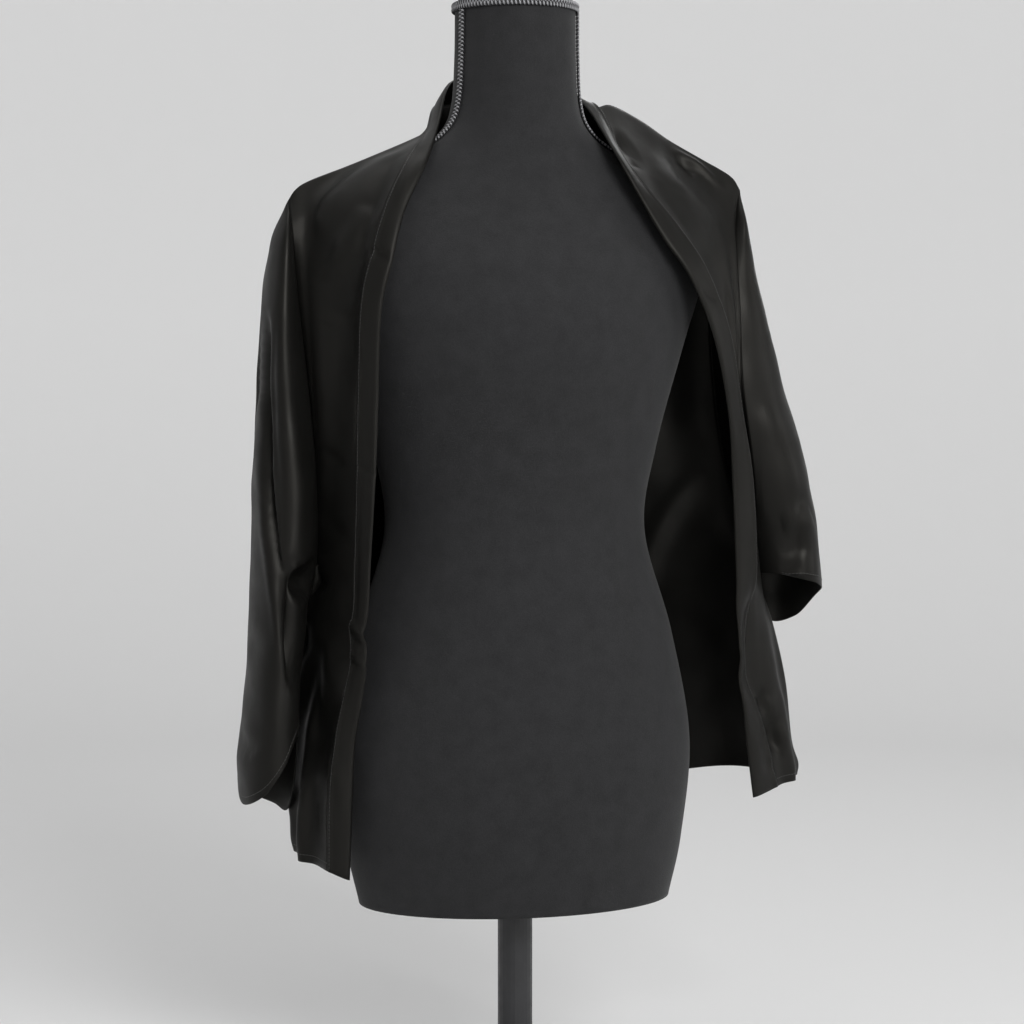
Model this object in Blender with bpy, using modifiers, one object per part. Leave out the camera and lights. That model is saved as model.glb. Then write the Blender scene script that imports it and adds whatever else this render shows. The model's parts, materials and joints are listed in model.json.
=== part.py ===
"""Black satin shrug with dropped kimono sleeves, worn open on a limbless dress form.

Metres, +Z up, front towards -Y, the wearer's right towards -X. The origin is on the floor, on the form's axis.
Every cloth panel is a patch between its seam curves, kept clear of the form, and given a thin wall.
"""

from collections import namedtuple

import bmesh
import bpy
import numpy as np

# Driving sizes
CLOTH_WALL = 0.0012
BAND_WALL = 0.0018
SEAM_GAP = 0.0003
FORM_CLEARANCE = 0.008

# Cells along each stretch of seam, so that pieces on both sides of a seam share its points
SHOULDER_CELLS = 8
NECK_HALF_CELLS = 5
ARMHOLE_CELLS = 13
SIDE_CELLS = 8
CUFF_CELLS = 5
SLEEVE_ROUND_CELLS = 24
BAND_ACROSS_CELLS = 2

# The dress form: half width, reach to the front and reach to the back at each height
FormRow = namedtuple("FormRow", "height half_width front back")
FORM = [
    FormRow(0.184, 0.146, 0.098, 0.104),
    FormRow(0.240, 0.158, 0.106, 0.115),
    FormRow(0.330, 0.166, 0.108, 0.121),
    FormRow(0.430, 0.148, 0.100, 0.102),
    FormRow(0.524, 0.122, 0.086, 0.084),
    FormRow(0.600, 0.132, 0.098, 0.091),
    FormRow(0.690, 0.156, 0.122, 0.103),
    FormRow(0.750, 0.176, 0.110, 0.110),
    FormRow(0.795, 0.186, 0.086, 0.107),
    FormRow(0.818, 0.178, 0.073, 0.099),
    FormRow(0.838, 0.154, 0.064, 0.088),
    FormRow(0.856, 0.122, 0.058, 0.077),
    FormRow(0.874, 0.086, 0.055, 0.069),
    FormRow(0.892, 0.066, 0.054, 0.063),
    FormRow(0.915, 0.058, 0.054, 0.059),
    FormRow(0.955, 0.0555, 0.056, 0.055),
    FormRow(1.004, 0.0550, 0.058, 0.052),
]
FORM_ROUND_CELLS = 36
FORM_TALL_CELLS = 48
NECK_CAP_RIM = 0.0035
NECK_CAP_HEIGHT = 0.010
BRAID_ANGLE = 73.0
BRAID_WIDTH = 0.008
BRAID_WALL = 0.002
BRAID_LOW = 0.872
BRAID_JOIN_ANGLE = 1.5
POLE_RADIUS = 0.016
BASE_RADIUS = 0.140
BASE_THICKNESS = 0.009
BASE_CHAMFER = 0.002

# The band runs from the centre back of the neck, over the shoulder and down one front to the hem
BandRow = namedtuple("BandRow", "seam_x seam_y seam_z edge_x edge_y edge_z")
BAND_RIGHT = [
    BandRow(0.000, 0.093, 0.921, 0.000, 0.089, 0.943),
    BandRow(-0.036, 0.083, 0.922, -0.034, 0.078, 0.944),
    BandRow(-0.064, 0.050, 0.912, -0.054, 0.044, 0.932),
    BandRow(-0.080, 0.014, 0.887, -0.072, 0.000, 0.896),
    BandRow(-0.107, -0.043, 0.863, -0.095, -0.056, 0.858),
    BandRow(-0.134, -0.068, 0.820, -0.121, -0.078, 0.811),
    BandRow(-0.150, -0.078, 0.776, -0.135, -0.090, 0.766),
    BandRow(-0.160, -0.077, 0.728, -0.145, -0.090, 0.722),
    BandRow(-0.162, -0.072, 0.645, -0.147, -0.085, 0.645),
    BandRow(-0.162, -0.068, 0.575, -0.150, -0.084, 0.574),
    BandRow(-0.163, -0.065, 0.504, -0.154, -0.082, 0.503),
    BandRow(-0.164, -0.064, 0.464, -0.156, -0.080, 0.460),
    BandRow(-0.167, -0.061, 0.440, -0.159, -0.077, 0.436),
    BandRow(-0.1655, -0.058, 0.417, -0.1555, -0.073, 0.414),
    BandRow(-0.172, -0.055, 0.384, -0.159, -0.068, 0.378),
    BandRow(-0.179, -0.053, 0.350, -0.164, -0.062, 0.340),
    BandRow(-0.185, -0.050, 0.296, -0.1655, -0.059, 0.290),
    BandRow(-0.186, -0.050, 0.226, -0.168, -0.057, 0.218),
]
BAND_LEFT = [
    BandRow(0.000, 0.093, 0.921, 0.000, 0.089, 0.943),
    BandRow(0.042, 0.084, 0.922, 0.039, 0.079, 0.942),
    BandRow(0.076, 0.056, 0.917, 0.066, 0.052, 0.934),
    BandRow(0.083, 0.013, 0.914, 0.071, 0.003, 0.911),
    BandRow(0.087, -0.048, 0.864, 0.075, -0.061, 0.871),
    BandRow(0.108, -0.066, 0.830, 0.094, -0.080, 0.828),
    BandRow(0.132, -0.077, 0.800, 0.114, -0.090, 0.789),
    BandRow(0.157, -0.082, 0.762, 0.138, -0.094, 0.754),
    BandRow(0.182, -0.074, 0.706, 0.163, -0.087, 0.701),
    BandRow(0.199, -0.060, 0.635, 0.182, -0.073, 0.635),
    BandRow(0.214, -0.050, 0.570, 0.191, -0.060, 0.570),
    BandRow(0.221, -0.042, 0.486, 0.197, -0.055, 0.482),
    BandRow(0.215, -0.038, 0.455, 0.198, -0.054, 0.450),
    BandRow(0.210, -0.037, 0.413, 0.2027, -0.053, 0.413),
    BandRow(0.213, -0.034, 0.384, 0.202, -0.050, 0.386),
    BandRow(0.225, -0.031, 0.358, 0.2075, -0.048, 0.360),
    BandRow(0.237, -0.028, 0.326, 0.211, -0.046, 0.328),
    BandRow(0.249, -0.026, 0.281, 0.219, -0.044, 0.274),
]
SHOULDER_ROW = 3

# The shoulder seam runs from the band to the shoulder tip, and the armhole seams on from there to the underarm
Point = namedtuple("Point", "x y z")
SHOULDER_RIGHT = [
    Point(-0.104, 0.016, 0.876),
    Point(-0.151, 0.013, 0.856),
    Point(-0.188, 0.008, 0.8415),
    Point(-0.202, 0.005, 0.833),
    Point(-0.2095, 0.004, 0.822),
]
SHOULDER_LEFT = [
    Point(0.099, 0.022, 0.917),
    Point(0.129, 0.026, 0.904),
    Point(0.156, 0.023, 0.886),
    Point(0.185, 0.016, 0.869),
    Point(0.211, 0.008, 0.853),
    Point(0.219, 0.004, 0.840),
]
ArmholeRow = namedtuple("ArmholeRow", "height front_x front_y back_x back_y")
ARMHOLE_RIGHT = [
    ArmholeRow(0.800, -0.2090, -0.009, -0.2090, 0.022),
    ArmholeRow(0.760, -0.2060, -0.013, -0.2060, 0.037),
    ArmholeRow(0.715, -0.2020, -0.015, -0.2030, 0.047),
    ArmholeRow(0.645, -0.1940, -0.017, -0.1980, 0.055),
    ArmholeRow(0.574, -0.1880, -0.016, -0.1930, 0.053),
    ArmholeRow(0.503, -0.1868, -0.009, -0.1900, 0.038),
]
ARMHOLE_LEFT = [
    ArmholeRow(0.806, 0.2100, -0.012, 0.2110, 0.024),
    ArmholeRow(0.770, 0.2050, -0.029, 0.2070, 0.042),
    ArmholeRow(0.720, 0.2030, -0.043, 0.2080, 0.055),
    ArmholeRow(0.660, 0.2030, -0.050, 0.2135, 0.060),
    ArmholeRow(0.600, 0.2130, -0.046, 0.2200, 0.056),
    ArmholeRow(0.550, 0.2220, -0.036, 0.2290, 0.045),
    ArmholeRow(0.515, 0.2275, -0.019, 0.2330, 0.028),
]
SIDE_RIGHT = [
    Point(-0.1930, 0.006, 0.461),
    Point(-0.1955, 0.018, 0.430),
    Point(-0.1985, 0.027, 0.395),
    Point(-0.2040, 0.033, 0.330),
    Point(-0.2070, 0.033, 0.285),
    Point(-0.2055, 0.030, 0.262),
    Point(-0.2050, 0.028, 0.243),
    Point(-0.2025, 0.026, 0.2315),
]
SIDE_LEFT = [
    Point(0.2315, -0.002, 0.484),
    Point(0.2395, -0.002, 0.464),
    Point(0.2520, 0.000, 0.434),
    Point(0.2670, 0.004, 0.378),
    Point(0.2760, 0.010, 0.320),
    Point(0.2830, 0.010, 0.297),
    Point(0.2815, 0.009, 0.2855),
]
BACK_HEM = [Point(-0.160, 0.092, 0.243), Point(0.030, 0.146, 0.252), Point(0.225, 0.098, 0.284)]

# A sleeve is an oval tube: its centre and half sizes at each height
SleeveRow = namedtuple("SleeveRow", "height centre_x centre_y half_width half_depth")
SLEEVE_RIGHT = [
    SleeveRow(0.822, -0.2100, 0.004, 0.0040, 0.0100),
    SleeveRow(0.800, -0.2090, 0.005, 0.0115, 0.0280),
    SleeveRow(0.750, -0.2110, 0.006, 0.0190, 0.0430),
    SleeveRow(0.690, -0.2130, 0.007, 0.0220, 0.0510),
    SleeveRow(0.645, -0.2145, 0.008, 0.0230, 0.0540),
    SleeveRow(0.540, -0.2180, 0.006, 0.0230, 0.0560),
    SleeveRow(0.461, -0.2230, 0.004, 0.0215, 0.0560),
    SleeveRow(0.390, -0.2265, 0.002, 0.0215, 0.0560),
    SleeveRow(0.330, -0.2305, 0.000, 0.0265, 0.0540),
    SleeveRow(0.280, -0.2310, 0.000, 0.0245, 0.0510),
    SleeveRow(0.240, -0.2300, 0.000, 0.0225, 0.0500),
]
SLEEVE_LEFT = [
    SleeveRow(0.840, 0.2190, 0.004, 0.0030, 0.0080),
    SleeveRow(0.806, 0.2140, 0.007, 0.0095, 0.0280),
    SleeveRow(0.737, 0.2200, 0.009, 0.0160, 0.0460),
    SleeveRow(0.643, 0.2390, 0.010, 0.0250, 0.0560),
    SleeveRow(0.567, 0.2560, 0.013, 0.0300, 0.0550),
    SleeveRow(0.520, 0.2650, 0.016, 0.0300, 0.0520),
    SleeveRow(0.462, 0.2715, 0.015, 0.0305, 0.0510),
    SleeveRow(0.410, 0.2720, 0.014, 0.0290, 0.0500),
]
# Height of the cuff's lip round the sleeve: 0 at the underarm, then the front, the outside, the back and round again
CuffRow = namedtuple("CuffRow", "round_share height")
CUFF_RIGHT = [
    CuffRow(0.00, 0.340),
    CuffRow(0.08, 0.347),
    CuffRow(0.15, 0.340),
    CuffRow(0.22, 0.319),
    CuffRow(0.30, 0.299),
    CuffRow(0.38, 0.288),
    CuffRow(0.46, 0.283),
    CuffRow(0.52, 0.287),
    CuffRow(0.58, 0.298),
    CuffRow(0.66, 0.286),
    CuffRow(0.75, 0.279),
    CuffRow(0.84, 0.274),
    CuffRow(0.92, 0.270),
    CuffRow(0.97, 0.292),
    CuffRow(1.00, 0.340),
]
CUFF_LEFT = [
    CuffRow(0.00, 0.4825),
    CuffRow(0.15, 0.481),
    CuffRow(0.35, 0.470),
    CuffRow(0.50, 0.458),
    CuffRow(0.62, 0.434),
    CuffRow(0.74, 0.429),
    CuffRow(0.86, 0.456),
    CuffRow(0.94, 0.478),
    CuffRow(1.00, 0.4825),
]

# The largest folds of each panel: where they lie across it, how far they stand out, and from where to where they run
FoldRow = namedtuple("FoldRow", "across width out start end")
FRONT_RIGHT_FOLDS = [
    FoldRow(0.70, 0.24, 0.005, 0.08, 0.55),
    FoldRow(0.55, 0.16, 0.010, 0.70, 1.25),
]
FRONT_LEFT_FOLDS = [
    FoldRow(0.74, 0.18, 0.005, 0.08, 0.45),
    FoldRow(0.86, 0.14, -0.005, 0.48, 0.74),
    FoldRow(0.50, 0.22, 0.008, 0.72, 1.25),
]
BACK_FOLDS = [
    FoldRow(0.14, 0.05, 0.010, 0.10, 0.62),
    FoldRow(0.17, 0.07, 0.009, 0.64, 1.30),
    FoldRow(0.30, 0.06, 0.010, 0.45, 1.35),
    FoldRow(0.47, 0.07, -0.008, 0.50, 1.35),
    FoldRow(0.62, 0.06, 0.011, 0.40, 1.35),
    FoldRow(0.78, 0.05, -0.007, 0.55, 1.35),
    FoldRow(0.87, 0.05, 0.010, 0.10, 0.60),
    FoldRow(0.86, 0.06, 0.009, 0.70, 1.30),
]
SLEEVE_RIGHT_FOLDS = [
    FoldRow(0.29, 0.06, -0.004, 0.22, 0.62),
    FoldRow(0.72, 0.06, -0.006, 0.20, 0.75),
]
SLEEVE_LEFT_FOLDS = [
    FoldRow(0.25, 0.09, 0.006, 0.45, 1.10),
    FoldRow(0.72, 0.07, -0.006, 0.25, 0.85),
]

# How the surfaces are worked out
RELAX_STEPS = 40
FOLD_EDGE = 0.08
ARMHOLE_GRADE = 1.3
CLOSING_START = 0.55
END_BLEND = 0.32
OPEN_END_ANGLE = 15.0
CLOSED_END_ANGLE = 90.0
STEEPEST_SEAM = 6.0
SEAM_EASE = 2.6
TIP_EASE = 0.0015
OUTLINE_TURN_WEIGHT = 2.0
TINY = 1e-9

SATIN_BLACK = (0.012, 0.012, 0.012)
JERSEY_CHARCOAL = (0.035, 0.035, 0.040)
STAND_BLACK = (0.020, 0.020, 0.022)


# Curves

def through(points, per_span=24):
    """Dense points on a smooth curve through the given ones, with per_span steps from each to the next."""
    p = np.asarray(points, float)
    padded = np.vstack([2 * p[0] - p[1], p, 2 * p[-1] - p[-2]])
    t = np.linspace(0, 1, per_span, endpoint=False)[:, None]
    spans = []
    for a, b, c, d in zip(padded, padded[1:], padded[2:], padded[3:]):
        spans.append(
            0.5 * (2 * b + (c - a) * t + (2 * a - 5 * b + 4 * c - d) * t**2 + (3 * b - 3 * c + d - a) * t**3)
        )
    return np.vstack([*spans, p[-1:]])


def steps_along(line, cells, grade=1.0):
    """Index places on a dense line that cut it into equal cells, or with a grade above 1 into growing ones."""
    run = np.concatenate([[0], np.cumsum(np.linalg.norm(np.diff(line, axis=0), axis=1))])
    return np.interp(run[-1] * np.linspace(0, 1, cells + 1) ** grade, run, np.arange(len(line)))


def pick(line, places):
    """Points of a dense line at index places."""
    index = np.arange(len(line))
    return np.stack([np.interp(places, index, line[:, k]) for k in range(line.shape[1])], axis=1)


def cut(points, cells, grade=1.0):
    """Points that cut a smooth curve through the given ones into cells."""
    line = through(points)
    return pick(line, steps_along(line, cells, grade))


def table_at(rows, place):
    """The other columns of a table at places along its first column, smoothly between its rows."""
    line = through(sorted(rows))
    return [np.interp(place, line[:, 0], line[:, k]) for k in range(1, line.shape[1])]


def smooth_step(x):
    x = np.clip(x, 0, 1)
    return x * x * (3 - 2 * x)


# The form's surface

def form_level(p):
    """Below 0 inside the form, 0 on its surface and above 0 outside."""
    half_width, front, back = table_at(FORM, p[..., 2])
    depth = np.where(p[..., 1] < 0, front, back)
    return np.hypot(p[..., 0] / half_width, p[..., 1] / depth) - 1


def form_outward(p):
    """The distance of points from the form's surface, about, and the way out of it."""
    step = 1e-4
    slope = np.stack(
        [(form_level(p + step * axis) - form_level(p - step * axis)) / (2 * step) for axis in np.eye(3)], axis=-1
    )
    steep = np.maximum(np.linalg.norm(slope, axis=-1), TINY)
    return form_level(p) / steep, slope / steep[..., None]


def clear_of_form(p, gap):
    """The points moved out until they are at least gap from the form."""
    for _ in range(4):
        distance, outward = form_outward(p)
        short = np.maximum(gap - distance, 0)
        below_top = p[..., 2] < FORM[-1].height
        p = p + np.where(below_top, short, 0)[..., None] * outward
    return p


def form_heights():
    """Heights of the form's rings, closer together where its outline turns."""
    line = through(FORM)
    places = steps_along(line[:, :2] * [1.0, OUTLINE_TURN_WEIGHT], FORM_TALL_CELLS)
    return pick(line, places)[:, 0]


def form_point(angle, height, out=0.0):
    """A point on the form, at an angle in degrees from its front towards +X."""
    half_width, front, back = table_at(FORM, height)
    turn = np.radians(angle)
    depth = np.where(np.cos(turn) > 0, front, back)
    p = np.stack([half_width * np.sin(turn), -depth * np.cos(turn), np.asarray(height, float)], axis=-1)
    return p + out * form_outward(p)[1]


# Cloth surfaces, as grids of points with a row for each step down and a column for each step across

def patch(top, bottom, left, right):
    """The Coons patch between four curves that share their corners."""
    u = np.linspace(0, 1, len(top))[None, :, None]
    v = np.linspace(0, 1, len(left))[:, None, None]
    ruled_down = (1 - v) * top[None] + v * bottom[None]
    ruled_across = (1 - u) * left[:, None] + u * right[:, None]
    corners = (1 - v) * ((1 - u) * top[0] + u * top[-1]) + v * ((1 - u) * bottom[0] + u * bottom[-1])
    return ruled_down + ruled_across - corners


def relaxed(grid):
    """A patch settled on the form: its inside is smoothed and kept clear, and its edges stay."""
    for _ in range(RELAX_STEPS):
        mean = (grid[:-2, 1:-1] + grid[2:, 1:-1] + grid[1:-1, :-2] + grid[1:-1, 2:]) / 4
        grid = grid.copy()
        grid[1:-1, 1:-1] = clear_of_form(mean, FORM_CLEARANCE)
    return grid


def normals(grid, tube=False):
    """Unit normals of a grid, pointing away from the form's axis, or from its own axis on a tube."""
    n = np.cross(np.gradient(grid, axis=0), np.gradient(grid, axis=1))
    axis = grid.mean(axis=1, keepdims=True) if tube else grid * [0, 0, 1]
    if np.sum(n * (grid - axis)) < 0:
        n = -n
    return n / np.maximum(np.linalg.norm(n, axis=-1, keepdims=True), TINY)


def fold_height(shape, folds):
    """How far the folds lift each point of a grid of this shape."""
    v = np.linspace(0, 1, shape[0])[:, None]
    u = np.linspace(0, 1, shape[1])[None, :]
    lift = np.zeros(shape)
    for fold in folds:
        along = (v - fold.start) / (fold.end - fold.start)
        run = np.where((along > 0) & (along < 1), np.sin(np.pi * np.clip(along, 0, 1)), 0)
        lift += fold.out * run * np.exp(-(((u - fold.across) / fold.width) ** 2))
    return lift * np.minimum(smooth_step(u / FOLD_EDGE), smooth_step((1 - u) / FOLD_EDGE))


def folded(grid, folds, tube=False):
    """The grid with its folds, and its inside still clear of the form."""
    grid = grid + normals(grid, tube) * fold_height(grid.shape[:2], folds)[..., None]
    grid[1:-1, 1:-1] = clear_of_form(grid[1:-1, 1:-1], FORM_CLEARANCE)
    return grid


class SideSeams:
    """The seam curves of one side of the shrug, cut into cells."""

    def __init__(self, band, shoulder, armhole, side):
        seam = through([row[:3] for row in band])
        edge = through([row[3:] for row in band])
        per_row = (len(seam) - 1) // (len(band) - 1)
        turn = SHOULDER_ROW * per_row
        neck = steps_along(seam[: turn + 1], NECK_HALF_CELLS)
        front = turn + steps_along(seam[turn:], ARMHOLE_CELLS + SIDE_CELLS)
        self.neck = pick(seam, neck)
        self.front = pick(seam, front)
        self.band_seam = np.vstack([self.neck, self.front[1:]])
        self.band_edge = np.vstack([pick(edge, neck), pick(edge, front)[1:]])
        self.shoulder = cut([self.front[0], *shoulder], SHOULDER_CELLS)
        tip, underarm = self.shoulder[-1], np.array(side[0])
        front_way = [(row.front_x, row.front_y, row.height) for row in armhole]
        back_way = [(row.back_x, row.back_y, row.height) for row in armhole]
        self.armhole_front = cut([tip, *front_way, underarm], ARMHOLE_CELLS, ARMHOLE_GRADE)
        self.armhole_back = cut([tip, *back_way, underarm], ARMHOLE_CELLS, ARMHOLE_GRADE)
        self.side = cut(side, SIDE_CELLS)
        self.outer_front = np.vstack([self.armhole_front, self.side[1:]])
        self.outer_back = np.vstack([self.armhole_back, self.side[1:]])


def front_grid(seams, folds):
    hem = np.linspace(seams.front[-1], seams.side[-1], SHOULDER_CELLS + 1)
    grid = relaxed(patch(seams.shoulder, hem, seams.front, seams.outer_front))
    return folded(grid, folds)


def back_grid(right, left):
    top = np.vstack([right.shoulder[::-1], right.neck[::-1][1:], left.neck[1:], left.shoulder[1:]])
    hem = cut([right.side[-1], *BACK_HEM, left.side[-1]], len(top) - 1)
    grid = relaxed(patch(top, hem, right.outer_back, left.outer_back))
    return folded(grid, BACK_FOLDS)


def sleeve_grid(seams, rows, cuff, folds, side):
    """An oval tube below the underarm, and above it the part of the tube outside the two armhole seams."""
    u = np.linspace(0, 1, SLEEVE_ROUND_CELLS + 1)
    lip = table_at(cuff, u)[0]
    underarm = seams.side[0]
    level_share = smooth_step(u)
    tip = seams.armhole_front[0]
    half = np.linspace(0, 1, SLEEVE_ROUND_CELLS // 2 + 1)[:, None]
    up_front = seams.armhole_front[1] * (1 - half) + tip * half
    down_back = tip * (1 - half) + seams.armhole_back[1] * half
    grid = [np.vstack([up_front, down_back[1:]])]
    for step in range(2, ARMHOLE_CELLS + CUFF_CELLS + 1):
        if step <= ARMHOLE_CELLS:
            start, finish = seams.armhole_front[step], seams.armhole_back[step]
            height = start[2] + (finish[2] - start[2]) * level_share
            closing = smooth_step((step / ARMHOLE_CELLS - CLOSING_START) / (1 - CLOSING_START))
        else:
            below = (step - ARMHOLE_CELLS) / CUFF_CELLS
            height = underarm[2] + (lip - underarm[2]) * below
            closing = 1.0
        end_angle = OPEN_END_ANGLE + (CLOSED_END_ANGLE - OPEN_END_ANGLE) * closing
        angle = np.radians(-end_angle + (180 + 2 * end_angle) * u)
        centre_x, centre_y, half_width, half_depth = table_at(rows, height)
        ring = np.stack(
            [centre_x + side * half_width * np.sin(angle), centre_y - half_depth * np.cos(angle), height], axis=1
        )
        if step <= ARMHOLE_CELLS:
            to_start, to_finish = start - ring[0], finish - ring[-1]
            last_shift = to_start
        else:
            to_start = to_finish = last_shift * (1 - smooth_step(below)) * [1, 1, 0]
        ring += np.clip(1 - u / END_BLEND, 0, 1)[:, None] ** 2 * to_start
        ring += np.clip(1 - (1 - u) / END_BLEND, 0, 1)[:, None] ** 2 * to_finish
        grid.append(ring)
    grid = np.array(grid)
    down = grid[1, 1:-1] - grid[0, 1:-1]
    grid[0, 1:-1] += TIP_EASE * down / np.linalg.norm(down, axis=1, keepdims=True)
    return folded(grid, folds, tube=True)


def band_grid(seams):
    share = np.linspace(0, 1, BAND_ACROSS_CELLS + 1)[None, :, None]
    return seams.band_seam[:, None] * (1 - share) + seams.band_edge[:, None] * share


# Solids

def point_key(p):
    return tuple(np.round(p, 5))


def edge_places(grid):
    rows, columns = grid.shape[:2]
    return [(r, c) for r in range(rows) for c in range(columns) if r in (0, rows - 1) or c in (0, columns - 1)]


def meeting_normals(sheets):
    """The mean of the normals that meet at each point on the edges of the sheets."""
    found = {}
    for grid, normal in sheets:
        for place in edge_places(grid):
            found.setdefault(point_key(grid[place]), []).append(normal[place])
    return {key: np.mean(meet, axis=0) for key, meet in found.items()}


def drawn_in(grid, normal, meeting, wall):
    """The grid with its edges drawn in by half the seam gap, and further where walls meet at an angle."""
    drawn = grid.copy()
    rows, columns = grid.shape[:2]
    for row, column in edge_places(grid):
        mean = meeting.get(point_key(grid[row, column]), normal[row, column])
        lean = normal[row, column] @ mean / max(np.linalg.norm(mean), TINY)
        spread = np.sqrt(max(1 - lean**2, 0)) / max(lean, 1 / STEEPEST_SEAM)
        inset = SEAM_GAP / 2 + SEAM_EASE * wall / 2 * min(spread, STEEPEST_SEAM)
        beside = []
        if row in (0, rows - 1):
            beside.append((1 if row == 0 else rows - 2, column))
        if column in (0, columns - 1):
            beside.append((row, 1 if column == 0 else columns - 2))
        for place in beside:
            way = grid[place] - grid[row, column]
            drawn[row, column] += inset * way / max(np.linalg.norm(way), TINY)
    return drawn


def paint(name, colour, roughness, metallic=0.0):
    material = bpy.data.materials.new(name)
    material.use_nodes = True
    shader = material.node_tree.nodes["Principled BSDF"]
    shader.inputs["Base Color"].default_value = (*colour, 1.0)
    shader.inputs["Roughness"].default_value = roughness
    shader.inputs["Metallic"].default_value = metallic
    return material


def add_object(name, bm, collection, material):
    mesh = bpy.data.meshes.new(name)
    bmesh.ops.recalc_face_normals(bm, faces=bm.faces)
    if bm.calc_volume(signed=True) < 0:
        bmesh.ops.reverse_faces(bm, faces=bm.faces)
    bm.to_mesh(mesh)
    bm.free()
    mesh.shade_smooth()
    mesh.set_sharp_from_angle(angle=np.radians(40))
    mesh.materials.append(material)
    obj = bpy.data.objects.new(name, mesh)
    collection.objects.link(obj)
    return obj


def walled_sheet(name, points, normal, wall, collection, material):
    """A grid sheet extruded into a closed wall, half of it on each side of the grid's points."""
    rows, columns = points.shape[:2]
    bm = bmesh.new()
    bmesh.ops.create_grid(bm, x_segments=columns - 1, y_segments=rows - 1, size=1.0)
    extruded = bmesh.ops.extrude_face_region(bm, geom=bm.faces[:], use_keep_orig=True)
    outer = {item for item in extruded["geom"] if isinstance(item, bmesh.types.BMVert)}
    for vert in bm.verts:
        column = round((vert.co.x + 1) / 2 * (columns - 1))
        row = round((1 - vert.co.y) / 2 * (rows - 1))
        half = wall / 2 if vert in outer else -wall / 2
        vert.co = points[row, column] + half * normal[row, column]
    return add_object(name, bm, collection, material)


def add_shrug(collection):
    satin = paint("satin", SATIN_BLACK, 0.35)
    right = SideSeams(BAND_RIGHT, SHOULDER_RIGHT, ARMHOLE_RIGHT, SIDE_RIGHT)
    left = SideSeams(BAND_LEFT, SHOULDER_LEFT, ARMHOLE_LEFT, SIDE_LEFT)
    grids = {
        "shrug_front_right": front_grid(right, FRONT_RIGHT_FOLDS),
        "shrug_front_left": front_grid(left, FRONT_LEFT_FOLDS),
        "shrug_back": back_grid(right, left),
        "shrug_sleeve_right": sleeve_grid(right, SLEEVE_RIGHT, CUFF_RIGHT, SLEEVE_RIGHT_FOLDS, -1),
        "shrug_sleeve_left": sleeve_grid(left, SLEEVE_LEFT, CUFF_LEFT, SLEEVE_LEFT_FOLDS, 1),
        "shrug_band_right": band_grid(right),
        "shrug_band_left": band_grid(left),
    }
    sheets = {name: (grid, normals(grid, tube="sleeve" in name)) for name, grid in grids.items()}
    meeting = meeting_normals(sheets.values())
    for name, (grid, normal) in sheets.items():
        wall = BAND_WALL if "band" in name else CLOTH_WALL
        walled_sheet(name, drawn_in(grid, normal, meeting, wall), normal, wall, collection, satin)


def add_torso(collection, jersey):
    """A cylinder cut into rings, each ring shaped to the form's section at its height."""
    bm = bmesh.new()
    bmesh.ops.create_cone(bm, cap_ends=True, segments=FORM_ROUND_CELLS, radius1=1, radius2=1, depth=1)
    uprights = [edge for edge in bm.edges if abs(edge.verts[0].co.z - edge.verts[1].co.z) > 0.5]
    bmesh.ops.subdivide_edges(bm, edges=uprights, cuts=FORM_TALL_CELLS - 1, use_grid_fill=True)
    heights = form_heights()
    for vert in bm.verts:
        angle = np.degrees(np.arctan2(vert.co.x, -vert.co.y))
        vert.co = form_point(angle, heights[round((vert.co.z + 0.5) * FORM_TALL_CELLS)])
    return add_object("form_torso", bm, collection, jersey)


def add_turned(name, profile, collection, material, segments=40):
    """A profile of radius and height, from the top down, turned about the form's axis."""
    mesh = bpy.data.meshes.new(name)
    mesh.from_pydata([(r, 0, z) for r, z in profile], [(i, i + 1) for i in range(len(profile) - 1)], [])
    mesh.materials.append(material)
    obj = bpy.data.objects.new(name, mesh)
    collection.objects.link(obj)
    screw = obj.modifiers.new("Turn", "SCREW")
    screw.steps = screw.render_steps = segments
    screw.use_merge_vertices = True
    screw.merge_threshold = 0.0001
    screw.use_smooth_shade = True
    return obj


def add_braids(collection, cord):
    """Flat braid on the neck: one ring at its top and one strip down each side to the shoulder."""
    top = FORM[-1].height - SEAM_GAP
    lift = BRAID_WALL / 2 + SEAM_GAP
    ring_angles = np.linspace(0, 360 - BRAID_JOIN_ANGLE, FORM_ROUND_CELLS + 1)
    ring_low = top - BRAID_WIDTH
    side_top = ring_low - 2 * SEAM_GAP
    ring = np.stack([form_point(ring_angles, np.full_like(ring_angles, z), lift) for z in (top, ring_low)])
    bands = {"form_braid_neck": ring}
    heights = np.array([side_top, *[z for z in form_heights()[::-1] if BRAID_LOW < z < side_top - BRAID_WALL]])
    half_turn = np.degrees(BRAID_WIDTH / 2 / FORM[-1].half_width)
    for name, sign in (("form_braid_right", -1), ("form_braid_left", 1)):
        angles = sign * BRAID_ANGLE + np.array([half_turn, -half_turn])
        bands[name] = np.stack([form_point(np.full_like(heights, a), heights, lift) for a in angles], axis=1)
    for name, grid in bands.items():
        walled_sheet(name, grid, form_outward(grid)[1], BRAID_WALL, collection, cord)


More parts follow.
